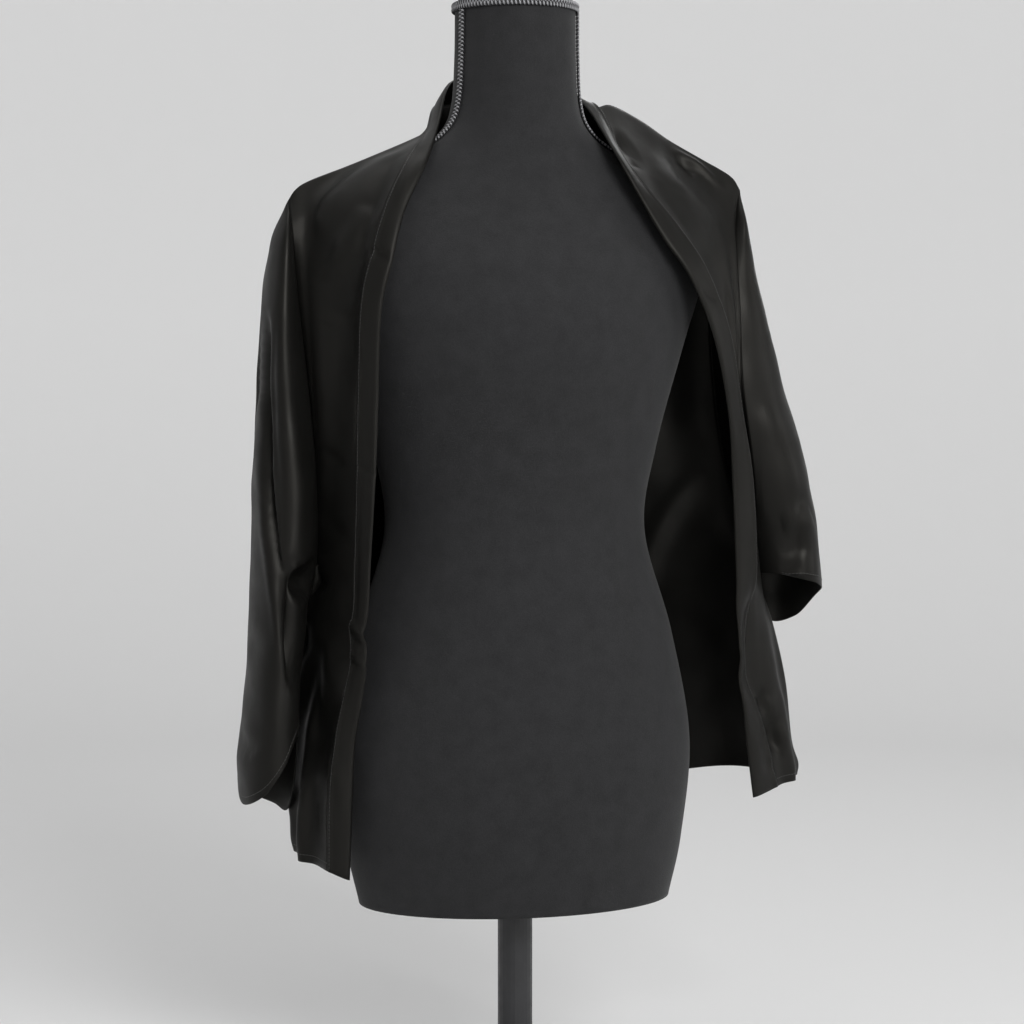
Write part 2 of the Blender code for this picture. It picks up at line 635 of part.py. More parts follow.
def add_form(collection):
    jersey = paint("jersey", JERSEY_CHARCOAL, 0.9)
    metal = paint("stand_metal", STAND_BLACK, 0.45, 1.0)
    cord = paint("braid", JERSEY_CHARCOAL, 0.7)
    add_torso(collection, jersey)
    add_braids(collection, cord)
    cap_low = FORM[-1].height + SEAM_GAP
    cap_radius = FORM[-1].back
    rise = NECK_CAP_HEIGHT - NECK_CAP_RIM
    turns = np.linspace(0, np.pi / 2, 7)
    dome = [(cap_radius * np.sin(turn), cap_low + NECK_CAP_RIM + rise * np.cos(turn)) for turn in turns]
    add_turned("form_neck_cap", [*dome, (cap_radius, cap_low), (0, cap_low)], collection, jersey)
    pole_top = FORM[0].height - SEAM_GAP
    pole_low = BASE_THICKNESS + SEAM_GAP
    pole = [(0, pole_top), (POLE_RADIUS, pole_top), (POLE_RADIUS, pole_low), (0, pole_low)]
    add_turned("form_pole", pole, collection, metal, segments=24)
    chamfer = [(BASE_RADIUS - BASE_CHAMFER, BASE_THICKNESS), (BASE_RADIUS, BASE_THICKNESS - BASE_CHAMFER)]
    add_turned("form_base", [(0, BASE_THICKNESS), *chamfer, (BASE_RADIUS, 0), (0, 0)], collection, metal, segments=48)


def main():
    for obj in list(bpy.data.objects):
        bpy.data.objects.remove(obj)
    collection = bpy.data.collections.new("shrug_on_dress_form")
    bpy.context.scene.collection.children.link(collection)
    add_shrug(collection)
    add_form(collection)


main()
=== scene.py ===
"""The looks of a black satin shrug on a dress form: fine cloth panels with their creases, in a pale studio.

Metres, +Z up, front towards -Y, the wearer's right towards -X.
The seams and the form are those of the CAD model.
"""

import json
from collections import namedtuple

import bmesh
import bpy
import numpy as np
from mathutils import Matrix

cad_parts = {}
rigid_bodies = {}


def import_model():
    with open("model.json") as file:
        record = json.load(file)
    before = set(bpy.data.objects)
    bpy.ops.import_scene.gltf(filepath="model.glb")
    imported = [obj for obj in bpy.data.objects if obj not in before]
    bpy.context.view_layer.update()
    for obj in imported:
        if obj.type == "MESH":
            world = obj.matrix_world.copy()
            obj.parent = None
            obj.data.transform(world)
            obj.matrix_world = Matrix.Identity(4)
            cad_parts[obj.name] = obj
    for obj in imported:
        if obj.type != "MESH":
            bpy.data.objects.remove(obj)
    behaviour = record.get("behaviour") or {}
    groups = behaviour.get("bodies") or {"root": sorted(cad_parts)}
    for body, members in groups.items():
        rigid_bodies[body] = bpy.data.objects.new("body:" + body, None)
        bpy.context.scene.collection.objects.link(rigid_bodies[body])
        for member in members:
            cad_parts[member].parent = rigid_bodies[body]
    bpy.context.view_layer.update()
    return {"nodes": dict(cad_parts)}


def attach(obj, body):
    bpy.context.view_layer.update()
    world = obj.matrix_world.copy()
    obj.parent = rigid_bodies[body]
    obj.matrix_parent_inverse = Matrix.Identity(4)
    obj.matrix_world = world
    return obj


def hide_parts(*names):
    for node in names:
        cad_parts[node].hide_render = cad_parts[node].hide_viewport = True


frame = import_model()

# Walls of the cloth, how far it stays from the form, and the extra room behind
SATIN_WALL = 0.0008
BAND_WALL = 0.0012
FORM_CLEARANCE = 0.006
BACK_EASE = 0.0065

# Cells along each stretch of seam, and how many finer ones stand for each of them here
SHOULDER_CELLS = 8
NECK_HALF_CELLS = 5
ARMHOLE_CELLS = 13
SIDE_CELLS = 8
CUFF_CELLS = 5
SLEEVE_ROUND_CELLS = 24
FINER_DOWN = 10
FINER_ACROSS = 5
BAND_ACROSS_CELLS = 12

# The dress form: half width, reach to the front and reach to the back at each height
FormRow = namedtuple("FormRow", "height half_width front back")
FORM = [
    FormRow(0.184, 0.146, 0.098, 0.104),
    FormRow(0.240, 0.158, 0.106, 0.115),
    FormRow(0.330, 0.166, 0.108, 0.121),
    FormRow(0.430, 0.148, 0.100, 0.102),
    FormRow(0.524, 0.122, 0.086, 0.084),
    FormRow(0.600, 0.132, 0.098, 0.091),
    FormRow(0.690, 0.156, 0.122, 0.103),
    FormRow(0.750, 0.176, 0.110, 0.110),
    FormRow(0.795, 0.186, 0.086, 0.107),
    FormRow(0.818, 0.178, 0.073, 0.099),
    FormRow(0.838, 0.154, 0.064, 0.088),
    FormRow(0.856, 0.122, 0.058, 0.077),
    FormRow(0.874, 0.086, 0.055, 0.069),
    FormRow(0.892, 0.066, 0.054, 0.063),
    FormRow(0.915, 0.058, 0.054, 0.059),
    FormRow(0.955, 0.0555, 0.056, 0.055),
    FormRow(1.004, 0.0550, 0.058, 0.052),
]
TORSO_ROUND_CELLS = 128
TORSO_TALL_CELLS = 220
TORSO_END_SHARES = (0.02, 0.5, 0.96)

# The braid on the neck: three strands plaited flat
BRAID_ANGLE = 73.0
BRAID_TOP = 1.0037
BRAID_WIDTH = 0.008
BRAID_LOW = 0.872
BRAID_REPEAT = 0.0105
BRAID_SWING = 0.0026
BRAID_RISE = 0.0007
STRAND_WIDE = 0.0017
STRAND_HIGH = 0.0010
STRAND_SIDES = 8
STEPS_PER_REPEAT = 14
BRAID_RING_POINTS = 361
BRAID_STRIP_POINTS = 120
# The attribute that carries the braid's painted highlight and painted shade
BRAID_PAINTED_LIGHT = "painted_light_height"

# The band runs from the centre back of the neck, over the shoulder and down one front to the hem
BandRow = namedtuple("BandRow", "seam_x seam_y seam_z edge_x edge_y edge_z")
BAND_RIGHT = [
    BandRow(0.000, 0.093, 0.921, 0.000, 0.089, 0.943),
    BandRow(-0.036, 0.083, 0.922, -0.034, 0.078, 0.944),
    BandRow(-0.064, 0.050, 0.912, -0.054, 0.044, 0.932),
    BandRow(-0.080, 0.014, 0.887, -0.072, 0.000, 0.896),
    BandRow(-0.107, -0.043, 0.863, -0.095, -0.056, 0.858),
    BandRow(-0.134, -0.068, 0.820, -0.121, -0.078, 0.811),
    BandRow(-0.150, -0.078, 0.776, -0.135, -0.090, 0.766),
    BandRow(-0.160, -0.077, 0.728, -0.145, -0.090, 0.722),
    BandRow(-0.162, -0.072, 0.645, -0.147, -0.085, 0.645),
    BandRow(-0.162, -0.068, 0.575, -0.150, -0.084, 0.574),
    BandRow(-0.163, -0.065, 0.504, -0.154, -0.082, 0.503),
    BandRow(-0.164, -0.064, 0.464, -0.156, -0.080, 0.460),
    BandRow(-0.167, -0.061, 0.440, -0.159, -0.077, 0.436),
    BandRow(-0.1655, -0.058, 0.417, -0.1555, -0.073, 0.414),
    BandRow(-0.172, -0.055, 0.384, -0.159, -0.068, 0.378),
    BandRow(-0.179, -0.053, 0.350, -0.164, -0.062, 0.340),
    BandRow(-0.185, -0.050, 0.296, -0.1655, -0.059, 0.290),
    BandRow(-0.186, -0.050, 0.226, -0.168, -0.057, 0.218),
]
BAND_LEFT = [
    BandRow(0.000, 0.093, 0.921, 0.000, 0.089, 0.943),
    BandRow(0.042, 0.084, 0.922, 0.039, 0.079, 0.942),
    BandRow(0.076, 0.056, 0.917, 0.066, 0.052, 0.934),
    BandRow(0.083, 0.013, 0.914, 0.071, 0.003, 0.911),
    BandRow(0.087, -0.048, 0.864, 0.075, -0.061, 0.871),
    BandRow(0.108, -0.066, 0.830, 0.094, -0.080, 0.828),
    BandRow(0.132, -0.077, 0.800, 0.114, -0.090, 0.789),
    BandRow(0.157, -0.082, 0.762, 0.138, -0.094, 0.754),
    BandRow(0.182, -0.074, 0.706, 0.163, -0.087, 0.701),
    BandRow(0.199, -0.060, 0.635, 0.182, -0.073, 0.635),
    BandRow(0.214, -0.050, 0.570, 0.191, -0.060, 0.570),
    BandRow(0.221, -0.042, 0.486, 0.197, -0.055, 0.482),
    BandRow(0.215, -0.038, 0.455, 0.198, -0.054, 0.450),
    BandRow(0.210, -0.037, 0.413, 0.2027, -0.053, 0.413),
    BandRow(0.213, -0.034, 0.384, 0.202, -0.050, 0.386),
    BandRow(0.225, -0.031, 0.358, 0.2075, -0.048, 0.360),
    BandRow(0.237, -0.028, 0.326, 0.211, -0.046, 0.328),
    BandRow(0.249, -0.026, 0.281, 0.219, -0.044, 0.274),
]
SHOULDER_ROW = 3

# Points of the shoulder seam, from the band to the shoulder tip, where the armhole and side seams go on
SHOULDER_RIGHT = [
    (-0.104, 0.016, 0.876),
    (-0.151, 0.013, 0.856),
    (-0.188, 0.008, 0.8415),
    (-0.202, 0.005, 0.833),
    (-0.2095, 0.004, 0.822),
]
SHOULDER_LEFT = [
    (0.099, 0.022, 0.917),
    (0.129, 0.026, 0.904),
    (0.156, 0.023, 0.886),
    (0.185, 0.016, 0.869),
    (0.211, 0.008, 0.853),
    (0.219, 0.004, 0.840),
]
ArmholeRow = namedtuple("ArmholeRow", "height front_x front_y back_x back_y")
ARMHOLE_RIGHT = [
    ArmholeRow(0.800, -0.2090, -0.009, -0.2090, 0.022),
    ArmholeRow(0.760, -0.2060, -0.013, -0.2060, 0.037),
    ArmholeRow(0.715, -0.2020, -0.015, -0.2030, 0.047),
    ArmholeRow(0.645, -0.1940, -0.017, -0.1980, 0.055),
    ArmholeRow(0.574, -0.1880, -0.016, -0.1930, 0.053),
    ArmholeRow(0.503, -0.1868, -0.009, -0.1900, 0.038),
]
ARMHOLE_LEFT = [
    ArmholeRow(0.806, 0.2100, -0.012, 0.2110, 0.024),
    ArmholeRow(0.770, 0.2050, -0.029, 0.2070, 0.042),
    ArmholeRow(0.720, 0.2030, -0.043, 0.2080, 0.055),
    ArmholeRow(0.660, 0.2030, -0.050, 0.2135, 0.060),
    ArmholeRow(0.600, 0.2130, -0.046, 0.2200, 0.056),
    ArmholeRow(0.550, 0.2220, -0.036, 0.2290, 0.045),
    ArmholeRow(0.515, 0.2275, -0.019, 0.2330, 0.028),
]
SIDE_RIGHT = [
    (-0.1930, 0.006, 0.461),
    (-0.1955, 0.018, 0.430),
    (-0.1985, 0.027, 0.395),
    (-0.2040, 0.033, 0.330),
    (-0.2070, 0.033, 0.285),
    (-0.2055, 0.030, 0.262),
    (-0.2050, 0.028, 0.243),
    (-0.2025, 0.026, 0.2315),
]
SIDE_LEFT = [
    (0.2315, -0.002, 0.484),
    (0.2395, -0.002, 0.464),
    (0.2520, 0.000, 0.434),
    (0.2670, 0.004, 0.378),
    (0.2760, 0.010, 0.320),
    (0.2830, 0.010, 0.297),
    (0.2815, 0.009, 0.2855),
]
BACK_HEM = [(-0.160, 0.092, 0.243), (0.030, 0.146, 0.252), (0.225, 0.098, 0.284)]

# A sleeve is an oval tube: its centre and half sizes at each height
SleeveRow = namedtuple("SleeveRow", "height centre_x centre_y half_width half_depth")
SLEEVE_RIGHT = [
    SleeveRow(0.822, -0.2100, 0.004, 0.0040, 0.0100),
    SleeveRow(0.800, -0.2090, 0.005, 0.0115, 0.0280),
    SleeveRow(0.750, -0.2110, 0.006, 0.0190, 0.0430),
    SleeveRow(0.690, -0.2130, 0.007, 0.0220, 0.0510),
    SleeveRow(0.645, -0.2145, 0.008, 0.0230, 0.0540),
    SleeveRow(0.540, -0.2180, 0.006, 0.0230, 0.0560),
    SleeveRow(0.461, -0.2230, 0.004, 0.0215, 0.0560),
    SleeveRow(0.390, -0.2265, 0.002, 0.0215, 0.0560),
    SleeveRow(0.330, -0.2305, 0.000, 0.0265, 0.0540),
    SleeveRow(0.280, -0.2310, 0.000, 0.0245, 0.0510),
    SleeveRow(0.240, -0.2300, 0.000, 0.0225, 0.0500),
]
SLEEVE_LEFT = [
    SleeveRow(0.840, 0.2190, 0.004, 0.0030, 0.0080),
    SleeveRow(0.806, 0.2140, 0.007, 0.0095, 0.0280),
    SleeveRow(0.737, 0.2200, 0.009, 0.0160, 0.0460),
    SleeveRow(0.643, 0.2390, 0.010, 0.0250, 0.0560),
    SleeveRow(0.567, 0.2560, 0.013, 0.0300, 0.0550),
    SleeveRow(0.520, 0.2650, 0.016, 0.0300, 0.0520),
    SleeveRow(0.462, 0.2715, 0.015, 0.0305, 0.0510),
    SleeveRow(0.410, 0.2720, 0.014, 0.0290, 0.0500),
]
# The cuff's lip: shares of the way round, from the underarm by front, outside and back, with heights
CUFF_RIGHT = [
    (0.00, 0.340),
    (0.08, 0.347),
    (0.15, 0.340),
    (0.22, 0.319),
    (0.30, 0.299),
    (0.38, 0.288),
    (0.46, 0.283),
    (0.52, 0.287),
    (0.58, 0.298),
    (0.66, 0.286),
    (0.75, 0.279),
    (0.84, 0.274),
    (0.92, 0.270),
    (0.97, 0.292),
    (1.00, 0.340),
]
CUFF_LEFT = [
    (0.00, 0.4825),
    (0.15, 0.481),
    (0.35, 0.470),
    (0.50, 0.458),
    (0.62, 0.434),
    (0.74, 0.429),
    (0.86, 0.456),
    (0.94, 0.478),
    (1.00, 0.4825),
]

# The largest folds of each panel: where across it, how wide, how far out, and from where to where they run
FoldRow = namedtuple("FoldRow", "across width out start end")
FRONT_RIGHT_FOLDS = [
    FoldRow(0.70, 0.24, 0.005, 0.08, 0.55),
    FoldRow(0.55, 0.16, 0.010, 0.70, 1.25),
]
FRONT_LEFT_FOLDS = [
    FoldRow(0.74, 0.18, 0.005, 0.08, 0.45),
    FoldRow(0.86, 0.14, -0.005, 0.48, 0.74),
    FoldRow(0.50, 0.22, 0.008, 0.72, 1.25),
]
BACK_FOLDS = [
    FoldRow(0.14, 0.05, 0.010, 0.10, 0.62),
    FoldRow(0.17, 0.07, 0.009, 0.64, 1.30),
    FoldRow(0.30, 0.06, 0.010, 0.45, 1.35),
    FoldRow(0.47, 0.07, -0.008, 0.50, 1.35),
    FoldRow(0.62, 0.06, 0.011, 0.40, 1.35),
    FoldRow(0.78, 0.05, -0.007, 0.55, 1.35),
    FoldRow(0.87, 0.05, 0.010, 0.10, 0.60),
    FoldRow(0.86, 0.06, 0.009, 0.70, 1.30),
]
SLEEVE_RIGHT_FOLDS = [
    FoldRow(0.29, 0.06, -0.004, 0.22, 0.62),
    FoldRow(0.72, 0.06, -0.006, 0.20, 0.75),
]
SLEEVE_LEFT_FOLDS = [
    FoldRow(0.25, 0.09, 0.006, 0.45, 1.10),
    FoldRow(0.72, 0.07, -0.006, 0.25, 0.85),
]

# Creases: each has a path of x and z, a half width, and how far it stands out, or in where that is below 0
Crease = namedtuple("Crease", "path width out")
FRONT_RIGHT_CREASES = [
    Crease([(-0.2, 0.806), (-0.186, 0.79), (-0.172, 0.78)], 0.015, -0.0015),
    Crease([(-0.146, 0.815), (-0.158, 0.792), (-0.168, 0.772), (-0.18, 0.748)], 0.012, 0.0068),
    Crease([(-0.15, 0.772), (-0.158, 0.769), (-0.166, 0.768)], 0.0032, -0.001),
    Crease([(-0.184, 0.727), (-0.171, 0.721), (-0.16, 0.717)], 0.0032, -0.0013),
    Crease([(-0.188, 0.712), (-0.177, 0.705)], 0.003, -0.001),
    Crease([(-0.176, 0.668), (-0.168, 0.64), (-0.171, 0.6)], 0.012, 0.001),
    Crease([(-0.191, 0.605), (-0.178, 0.594), (-0.166, 0.584)], 0.004, -0.0014),
    Crease([(-0.184, 0.545), (-0.175, 0.53), (-0.168, 0.524)], 0.005, -0.0012),
    Crease([(-0.204, 0.5), (-0.198, 0.482), (-0.19, 0.468)], 0.012, -0.016),
    Crease([(-0.179, 0.468), (-0.187, 0.447), (-0.189, 0.42), (-0.194, 0.404), (-0.198, 0.38),
            (-0.199, 0.34)], 0.004, 0.0022),
    Crease([(-0.194, 0.445), (-0.199, 0.42), (-0.204, 0.385)], 0.006, -0.006),
    Crease([(-0.185, 0.43), (-0.189, 0.406), (-0.191, 0.367), (-0.189, 0.33)], 0.005, -0.005),
    Crease([(-0.18, 0.445), (-0.18, 0.407), (-0.177, 0.372)], 0.007, 0.0035),
    Crease([(-0.197, 0.31), (-0.2015, 0.28), (-0.205, 0.259), (-0.208, 0.235)], 0.004, 0.0035),
    Crease([(-0.191, 0.31), (-0.195, 0.265), (-0.196, 0.215)], 0.007, -0.0035),
    Crease([(-0.184, 0.345), (-0.187, 0.29), (-0.19, 0.215)], 0.007, 0.0025),
]
SLEEVE_RIGHT_CREASES = [
    Crease([(-0.232, 0.728), (-0.233, 0.691), (-0.2346, 0.654), (-0.2338, 0.62), (-0.234, 0.573),
            (-0.2315, 0.53), (-0.2273, 0.49)], 0.0023, -0.019),
    Crease([(-0.224, 0.712), (-0.2207, 0.681), (-0.217, 0.64), (-0.2107, 0.573), (-0.212, 0.53),
            (-0.216, 0.5)], 0.008, 0.003),
    Crease([(-0.24, 0.61), (-0.2375, 0.566), (-0.2355, 0.522), (-0.2331, 0.486), (-0.2303, 0.448),
            (-0.225, 0.39)], 0.004, 0.0045),
    Crease([(-0.224, 0.51), (-0.22, 0.465), (-0.218, 0.43), (-0.216, 0.385)], 0.0075, -0.014),
    Crease([(-0.208, 0.5), (-0.201, 0.484), (-0.193, 0.47)], 0.014, -0.019),
    Crease([(-0.218, 0.506), (-0.206, 0.5)], 0.003, -0.002),
    Crease([(-0.264, 0.344), (-0.249, 0.33)], 0.01, -0.003),
    Crease([(-0.24, 0.43), (-0.238, 0.38), (-0.23, 0.33)], 0.01, 0.0025),
]
FRONT_LEFT_CREASES = [
    Crease([(0.086, 0.89), (0.096, 0.874), (0.103, 0.852)], 0.006, -0.007),
    Crease([(0.152, 0.878), (0.168, 0.868), (0.182, 0.859), (0.203, 0.84)], 0.004, 0.0046),
    Crease([(0.156, 0.87), (0.166, 0.862), (0.174, 0.852)], 0.0048, -0.0046),
    Crease([(0.12, 0.868), (0.145, 0.845), (0.16, 0.815)], 0.011, 0.002),
    Crease([(0.211, 0.812), (0.207, 0.784), (0.2055, 0.755), (0.204, 0.718), (0.2025, 0.699)], 0.004, 0.0022),
    Crease([(0.198, 0.8), (0.196, 0.77), (0.195, 0.735)], 0.009, -0.0014),
    Crease([(0.233, 0.362), (0.242, 0.335), (0.252, 0.308)], 0.006, -0.003),
    Crease([(0.245, 0.38), (0.256, 0.34), (0.268, 0.288)], 0.01, 0.0014),
    Crease([(0.228, 0.376), (0.232, 0.36), (0.234, 0.348)], 0.006, -0.004),
    Crease([(0.239, 0.336), (0.244, 0.323), (0.246, 0.312)], 0.006, -0.0028),
    Crease([(0.221, 0.319), (0.224, 0.31), (0.227, 0.3)], 0.005, -0.0032),
    Crease([(0.24, 0.368), (0.242, 0.352), (0.243, 0.338)], 0.006, 0.003),
    Crease([(0.25, 0.342), (0.255, 0.326), (0.258, 0.308)], 0.006, 0.003),
]
SLEEVE_LEFT_CREASES = [
    Crease([(0.24, 0.705), (0.253, 0.655), (0.264, 0.605)], 0.014, -0.0024),
    Crease([(0.233, 0.64), (0.242, 0.59), (0.245, 0.555), (0.244, 0.525)], 0.018, 0.003),
    Crease([(0.263, 0.56), (0.26, 0.525), (0.257, 0.505)], 0.0065, -0.005),
    Crease([(0.272, 0.511), (0.259, 0.504), (0.247, 0.499)], 0.0075, -0.0042),
    Crease([(0.266, 0.493), (0.256, 0.489), (0.247, 0.487)], 0.0055, -0.002),
    Crease([(0.276, 0.536), (0.262, 0.53), (0.247, 0.524)], 0.014, 0.006),
    Crease([(0.279, 0.56), (0.283, 0.51), (0.282, 0.465)], 0.01, 0.0016),
]
BACK_CREASES = [
    Crease([(-0.175, 0.79), (-0.15, 0.72), (-0.12, 0.64), (-0.108, 0.52)], 0.011, 0.0072),
    Crease([(-0.15, 0.8), (-0.118, 0.73), (-0.092, 0.66)], 0.009, -0.005),
    Crease([(-0.19, 0.56), (-0.15, 0.52), (-0.12, 0.45)], 0.009, -0.0062),
    Crease([(-0.06, 0.86), (-0.052, 0.76), (-0.06, 0.64)], 0.013, 0.0045),
    Crease([(0.02, 0.87), (0.012, 0.74), (0.03, 0.56), (0.022, 0.42)], 0.012, -0.0055),
    Crease([(0.18, 0.8), (0.15, 0.7), (0.128, 0.59), (0.132, 0.47)], 0.011, 0.0076),
    Crease([(0.14, 0.79), (0.105, 0.7), (0.09, 0.59)], 0.009, -0.0052),
    Crease([(0.205, 0.58), (0.165, 0.52), (0.14, 0.43), (0.148, 0.34)], 0.01, -0.0066),
    Crease([(-0.03, 0.56), (-0.042, 0.43), (-0.03, 0.23)], 0.011, 0.0068),
    Crease([(0.08, 0.5), (0.07, 0.38), (0.086, 0.24)], 0.01, 0.0072),
]
BAND_RIGHT_CREASES = [
    Crease([(-0.1, 0.862), (-0.116, 0.838), (-0.128, 0.812)], 0.0045, 0.0012),
    Crease([(-0.154, 0.78), (-0.146, 0.772), (-0.136, 0.766)], 0.004, -0.0022),
    Crease([(-0.162, 0.59), (-0.154, 0.582), (-0.146, 0.58)], 0.003, -0.0014),
    Crease([(-0.17, 0.452), (-0.163, 0.444), (-0.153, 0.436)], 0.0028, 0.0024),
    Crease([(-0.168, 0.438), (-0.16, 0.43), (-0.152, 0.424)], 0.0028, -0.0022),
    Crease([(-0.169, 0.424), (-0.16, 0.416), (-0.15, 0.407)], 0.0028, 0.0024),
    Crease([(-0.184, 0.33), (-0.174, 0.3), (-0.172, 0.26)], 0.006, 0.0016),
]
BAND_LEFT_CREASES = [
    Crease([(0.1, 0.84), (0.115, 0.815), (0.132, 0.78)], 0.005, 0.0012),
    Crease([(0.148, 0.746), (0.158, 0.739), (0.17, 0.733)], 0.0038, -0.0022),
    Crease([(0.214, 0.462), (0.208, 0.435), (0.205, 0.405)], 0.0045, -0.003),
    Crease([(0.219, 0.35), (0.222, 0.318), (0.226, 0.285)], 0.006, 0.0018),
    Crease([(0.23, 0.31), (0.238, 0.3), (0.246, 0.296)], 0.004, -0.0018),
]

# The band's section: a raised line of stitching beside the seam, a slight puff and a rolled edge
SEAM_RIDGE = 0.0010
SEAM_RIDGE_PLACE = 0.10
SEAM_RIDGE_WIDTH = 0.06
BAND_PUFF = 0.0010
BAND_ROLL = 0.0016
BAND_ROLL_START = 0.86

# Rows of stitches along the band's seam and above the hems
STITCH_PITCH = 0.0034
STITCH_LONG = 0.0027
STITCH_THICK = 0.0006
STITCH_SIDES = 6
STITCH_STATIONS = np.array([-0.5, -0.3, 0.3, 0.5])
STITCH_GIRTHS = np.array([0.35, 1.0, 1.0, 0.35])
HEM_DEPTH = 0.007

# The flat cut of each cloth piece, how it is held and what it lies on or hangs from
FlatCut = namedtuple("FlatCut", "width length area held rests_on")

# Slow unevenness of the cloth: size in metres, and waves across, deep and up in radians per metre
RIPPLE_OUT = 0.0006
RIPPLE_WAVES = [(95.0, 40.0, 62.0), (-71.0, 55.0, 104.0), (38.0, -90.0, 133.0), (142.0, 20.0, -49.0)]

# How the surfaces are worked out
RELAX_STEPS = 40
SMOOTH_STEPS = 160
SOFTEN_STEPS = 40
FOLD_EDGE = 0.08
CREASE_EDGE = 0.05
CREASE_TOP = 0.02
CREASE_STEPS = 16
FACING_REACH = 0.35
FACING_FADE = 0.5
CLEAR_ROUNDS = 4
SLOPE_STEP = 1e-4
ARMHOLE_GRADE = 1.3
CLOSING_START = 0.55
END_BLEND = 0.32
OPEN_END_ANGLE = 15.0
CLOSED_END_ANGLE = 90.0
MERGE_DISTANCE = 1e-5
TINY = 1e-9

# The camera
CAMERA_TURN = -15.0
CAMERA_DOWN = 3.0
CAMERA_DISTANCE = 2.4
CAMERA_AIM = (0.0, 0.0, 0.541)
CAMERA_SLIDE = 0.0028
CAMERA_LENS = 91.7
CAMERA_SENSOR = 36.0

# The studio
FLOOR_RADIUS = 2.4
COVE_RADIUS = 1.2
WALL_TOP = 3.4
STAGE_SEGMENTS = 96
COVE_POINTS = 13
FLOOR_MIDDLE = 0.001

# The lights: where each stands and aims, its sides, its power, and whether it falls on the object alone
Light = namedtuple("Light", "name place aim size power object_alone")
LIGHTS = [
    Light("key", (0.4, -2.6, 1.75), (0.0, 0.0, 0.6), (1.3, 1.3), 66.0, False),
    Light("fill", (2.3, -1.0, 1.0), (0.0, 0.0, 0.7), (0.9, 1.4), 11.0, True),
    Light("back", (1.35, 2.2, 1.55), (0.0, 0.0, 0.6), (1.2, 1.2), 20.0, True),
    Light("backdrop", (0.1, 0.6, 3.2), (0.8, 3.0, 0.6), (2.0, 1.0), 16.0, False),
    Light("top", (0.0, 0.3, 3.0), (0.0, 0.0, 0.5), (1.6, 1.6), 8.0, False),
]
AIR_LIGHT = 0.46

# Colours from the darkest to the lightest, roughness from the smoothest to the roughest, and shine
SATIN_TONES = ((0.0040, 0.0039, 0.0036), (0.0058, 0.0056, 0.0051))
SATIN_ROUGHNESS = (0.41, 0.54)
SATIN_SHINE = 0.16
SATIN_SHINE_TINT = (1.0, 0.97, 0.90, 1.0)
JERSEY_TONES = ((0.0092, 0.0093, 0.0100), (0.0136, 0.0138, 0.0147))
JERSEY_ROUGHNESS = (0.78, 0.95)
JERSEY_SHINE = 0.3
JERSEY_SHEEN = 0.06
THREAD_TONES = ((0.020, 0.020, 0.019), (0.036, 0.035, 0.033))
THREAD_ROUGHNESS = (0.35, 0.5)
# The braid's colour: painted shade where the strands dip, painted highlight on their crowns
BRAID_PAINTED_SHADE_TO_HIGHLIGHT = ((0.010, 0.010, 0.011), (0.26, 0.26, 0.27))
BRAID_ROUGHNESS = (0.6, 0.8)
PAINT_TONES = ((0.014, 0.014, 0.015), (0.022, 0.022, 0.024))
PAINT_ROUGHNESS = (0.38, 0.55)
# The studio's colour: painted shade on the floor, a little darker than on the wall
STUDIO_PAINTED_SHADE_TONES = (0.75, 0.80)
STUDIO_PAINTED_SHADE_TOP = 0.8
STUDIO_ROUGHNESS = 0.9
STUDIO_SHINE = 0.1

# Waves of the weave and the knit per metre, along each axis of the cloth or of space
WARP_WAVES = (1700.0, 130.0, 1.0)
WEFT_WAVES = (160.0, 1500.0, 1.0)
KNIT_WAVES = (700.0, 700.0, 1300.0)


# Curves

def through(points, per_span=24):
    """Dense points on a smooth curve through the given ones, with per_span steps from each to the next."""
    p = np.asarray(points, float)
    padded = np.vstack([2 * p[:1] - p[1:2], p, 2 * p[-1:] - p[-2:-1]])
    t = np.linspace(0, 1, per_span, endpoint=False).reshape(-1, *[1] * (p.ndim - 1))
    spans = []
    for a, b, c, d in zip(padded, padded[1:], padded[2:], padded[3:]):
        spans.append(
            0.5 * (2 * b + (c - a) * t + (2 * a - 5 * b + 4 * c - d) * t**2 + (3 * b - 3 * c + d - a) * t**3)
        )
    return np.vstack([*spans, p[-1:]])


def run_along(line):
    """The length of a dense line up to each of its points."""
    return np.concatenate([[0], np.cumsum(np.linalg.norm(np.diff(line, axis=0), axis=1))])


def places_at(line, lengths):
    """Index places on a dense line at lengths along it."""
    return np.interp(lengths, run_along(line), np.arange(len(line)))


def steps_along(line, cells, grade=1.0):
    """Index places that cut a dense line into equal cells, or with a grade above 1 into growing ones."""
    return places_at(line, run_along(line)[-1] * np.linspace(0, 1, cells + 1) ** grade)


def pick(line, places):
    """Points of a dense line at index places."""
    index = np.arange(len(line))
    return np.stack([np.interp(places, index, line[:, k]) for k in range(line.shape[1])], axis=1)


def cut(points, cells, grade=1.0):
    """Points that cut a smooth curve through the given ones into cells."""
    line = through(points)
    return pick(line, steps_along(line, cells, grade))


def table_at(rows, place):
    """The other columns of a table at places along its first column, smoothly between its rows."""
    line = through(sorted(rows))
    return [np.interp(place, line[:, 0], line[:, k]) for k in range(1, line.shape[1])]


def smooth_step(x):
    """From 0 at 0 to 1 at 1, level at both ends and beyond them."""
    x = np.clip(x, 0, 1)
    return x * x * (3 - 2 * x)


def unit(vectors):
    return vectors / np.maximum(np.linalg.norm(vectors, axis=-1, keepdims=True), TINY)


def fade_at_sides(share, edge):
    """1 over most of the way across a grid, down to 0 at both its sides."""
    return np.minimum(smooth_step(share / edge), smooth_step((1 - share) / edge))


# The form's surface

def form_level(p):
    """Below 0 inside the form, 0 on its surface and above 0 outside."""
    half_width, front, back = table_at(FORM, p[..., 2])
    depth = np.where(p[..., 1] < 0, front, back)
    return np.hypot(p[..., 0] / half_width, p[..., 1] / depth) - 1


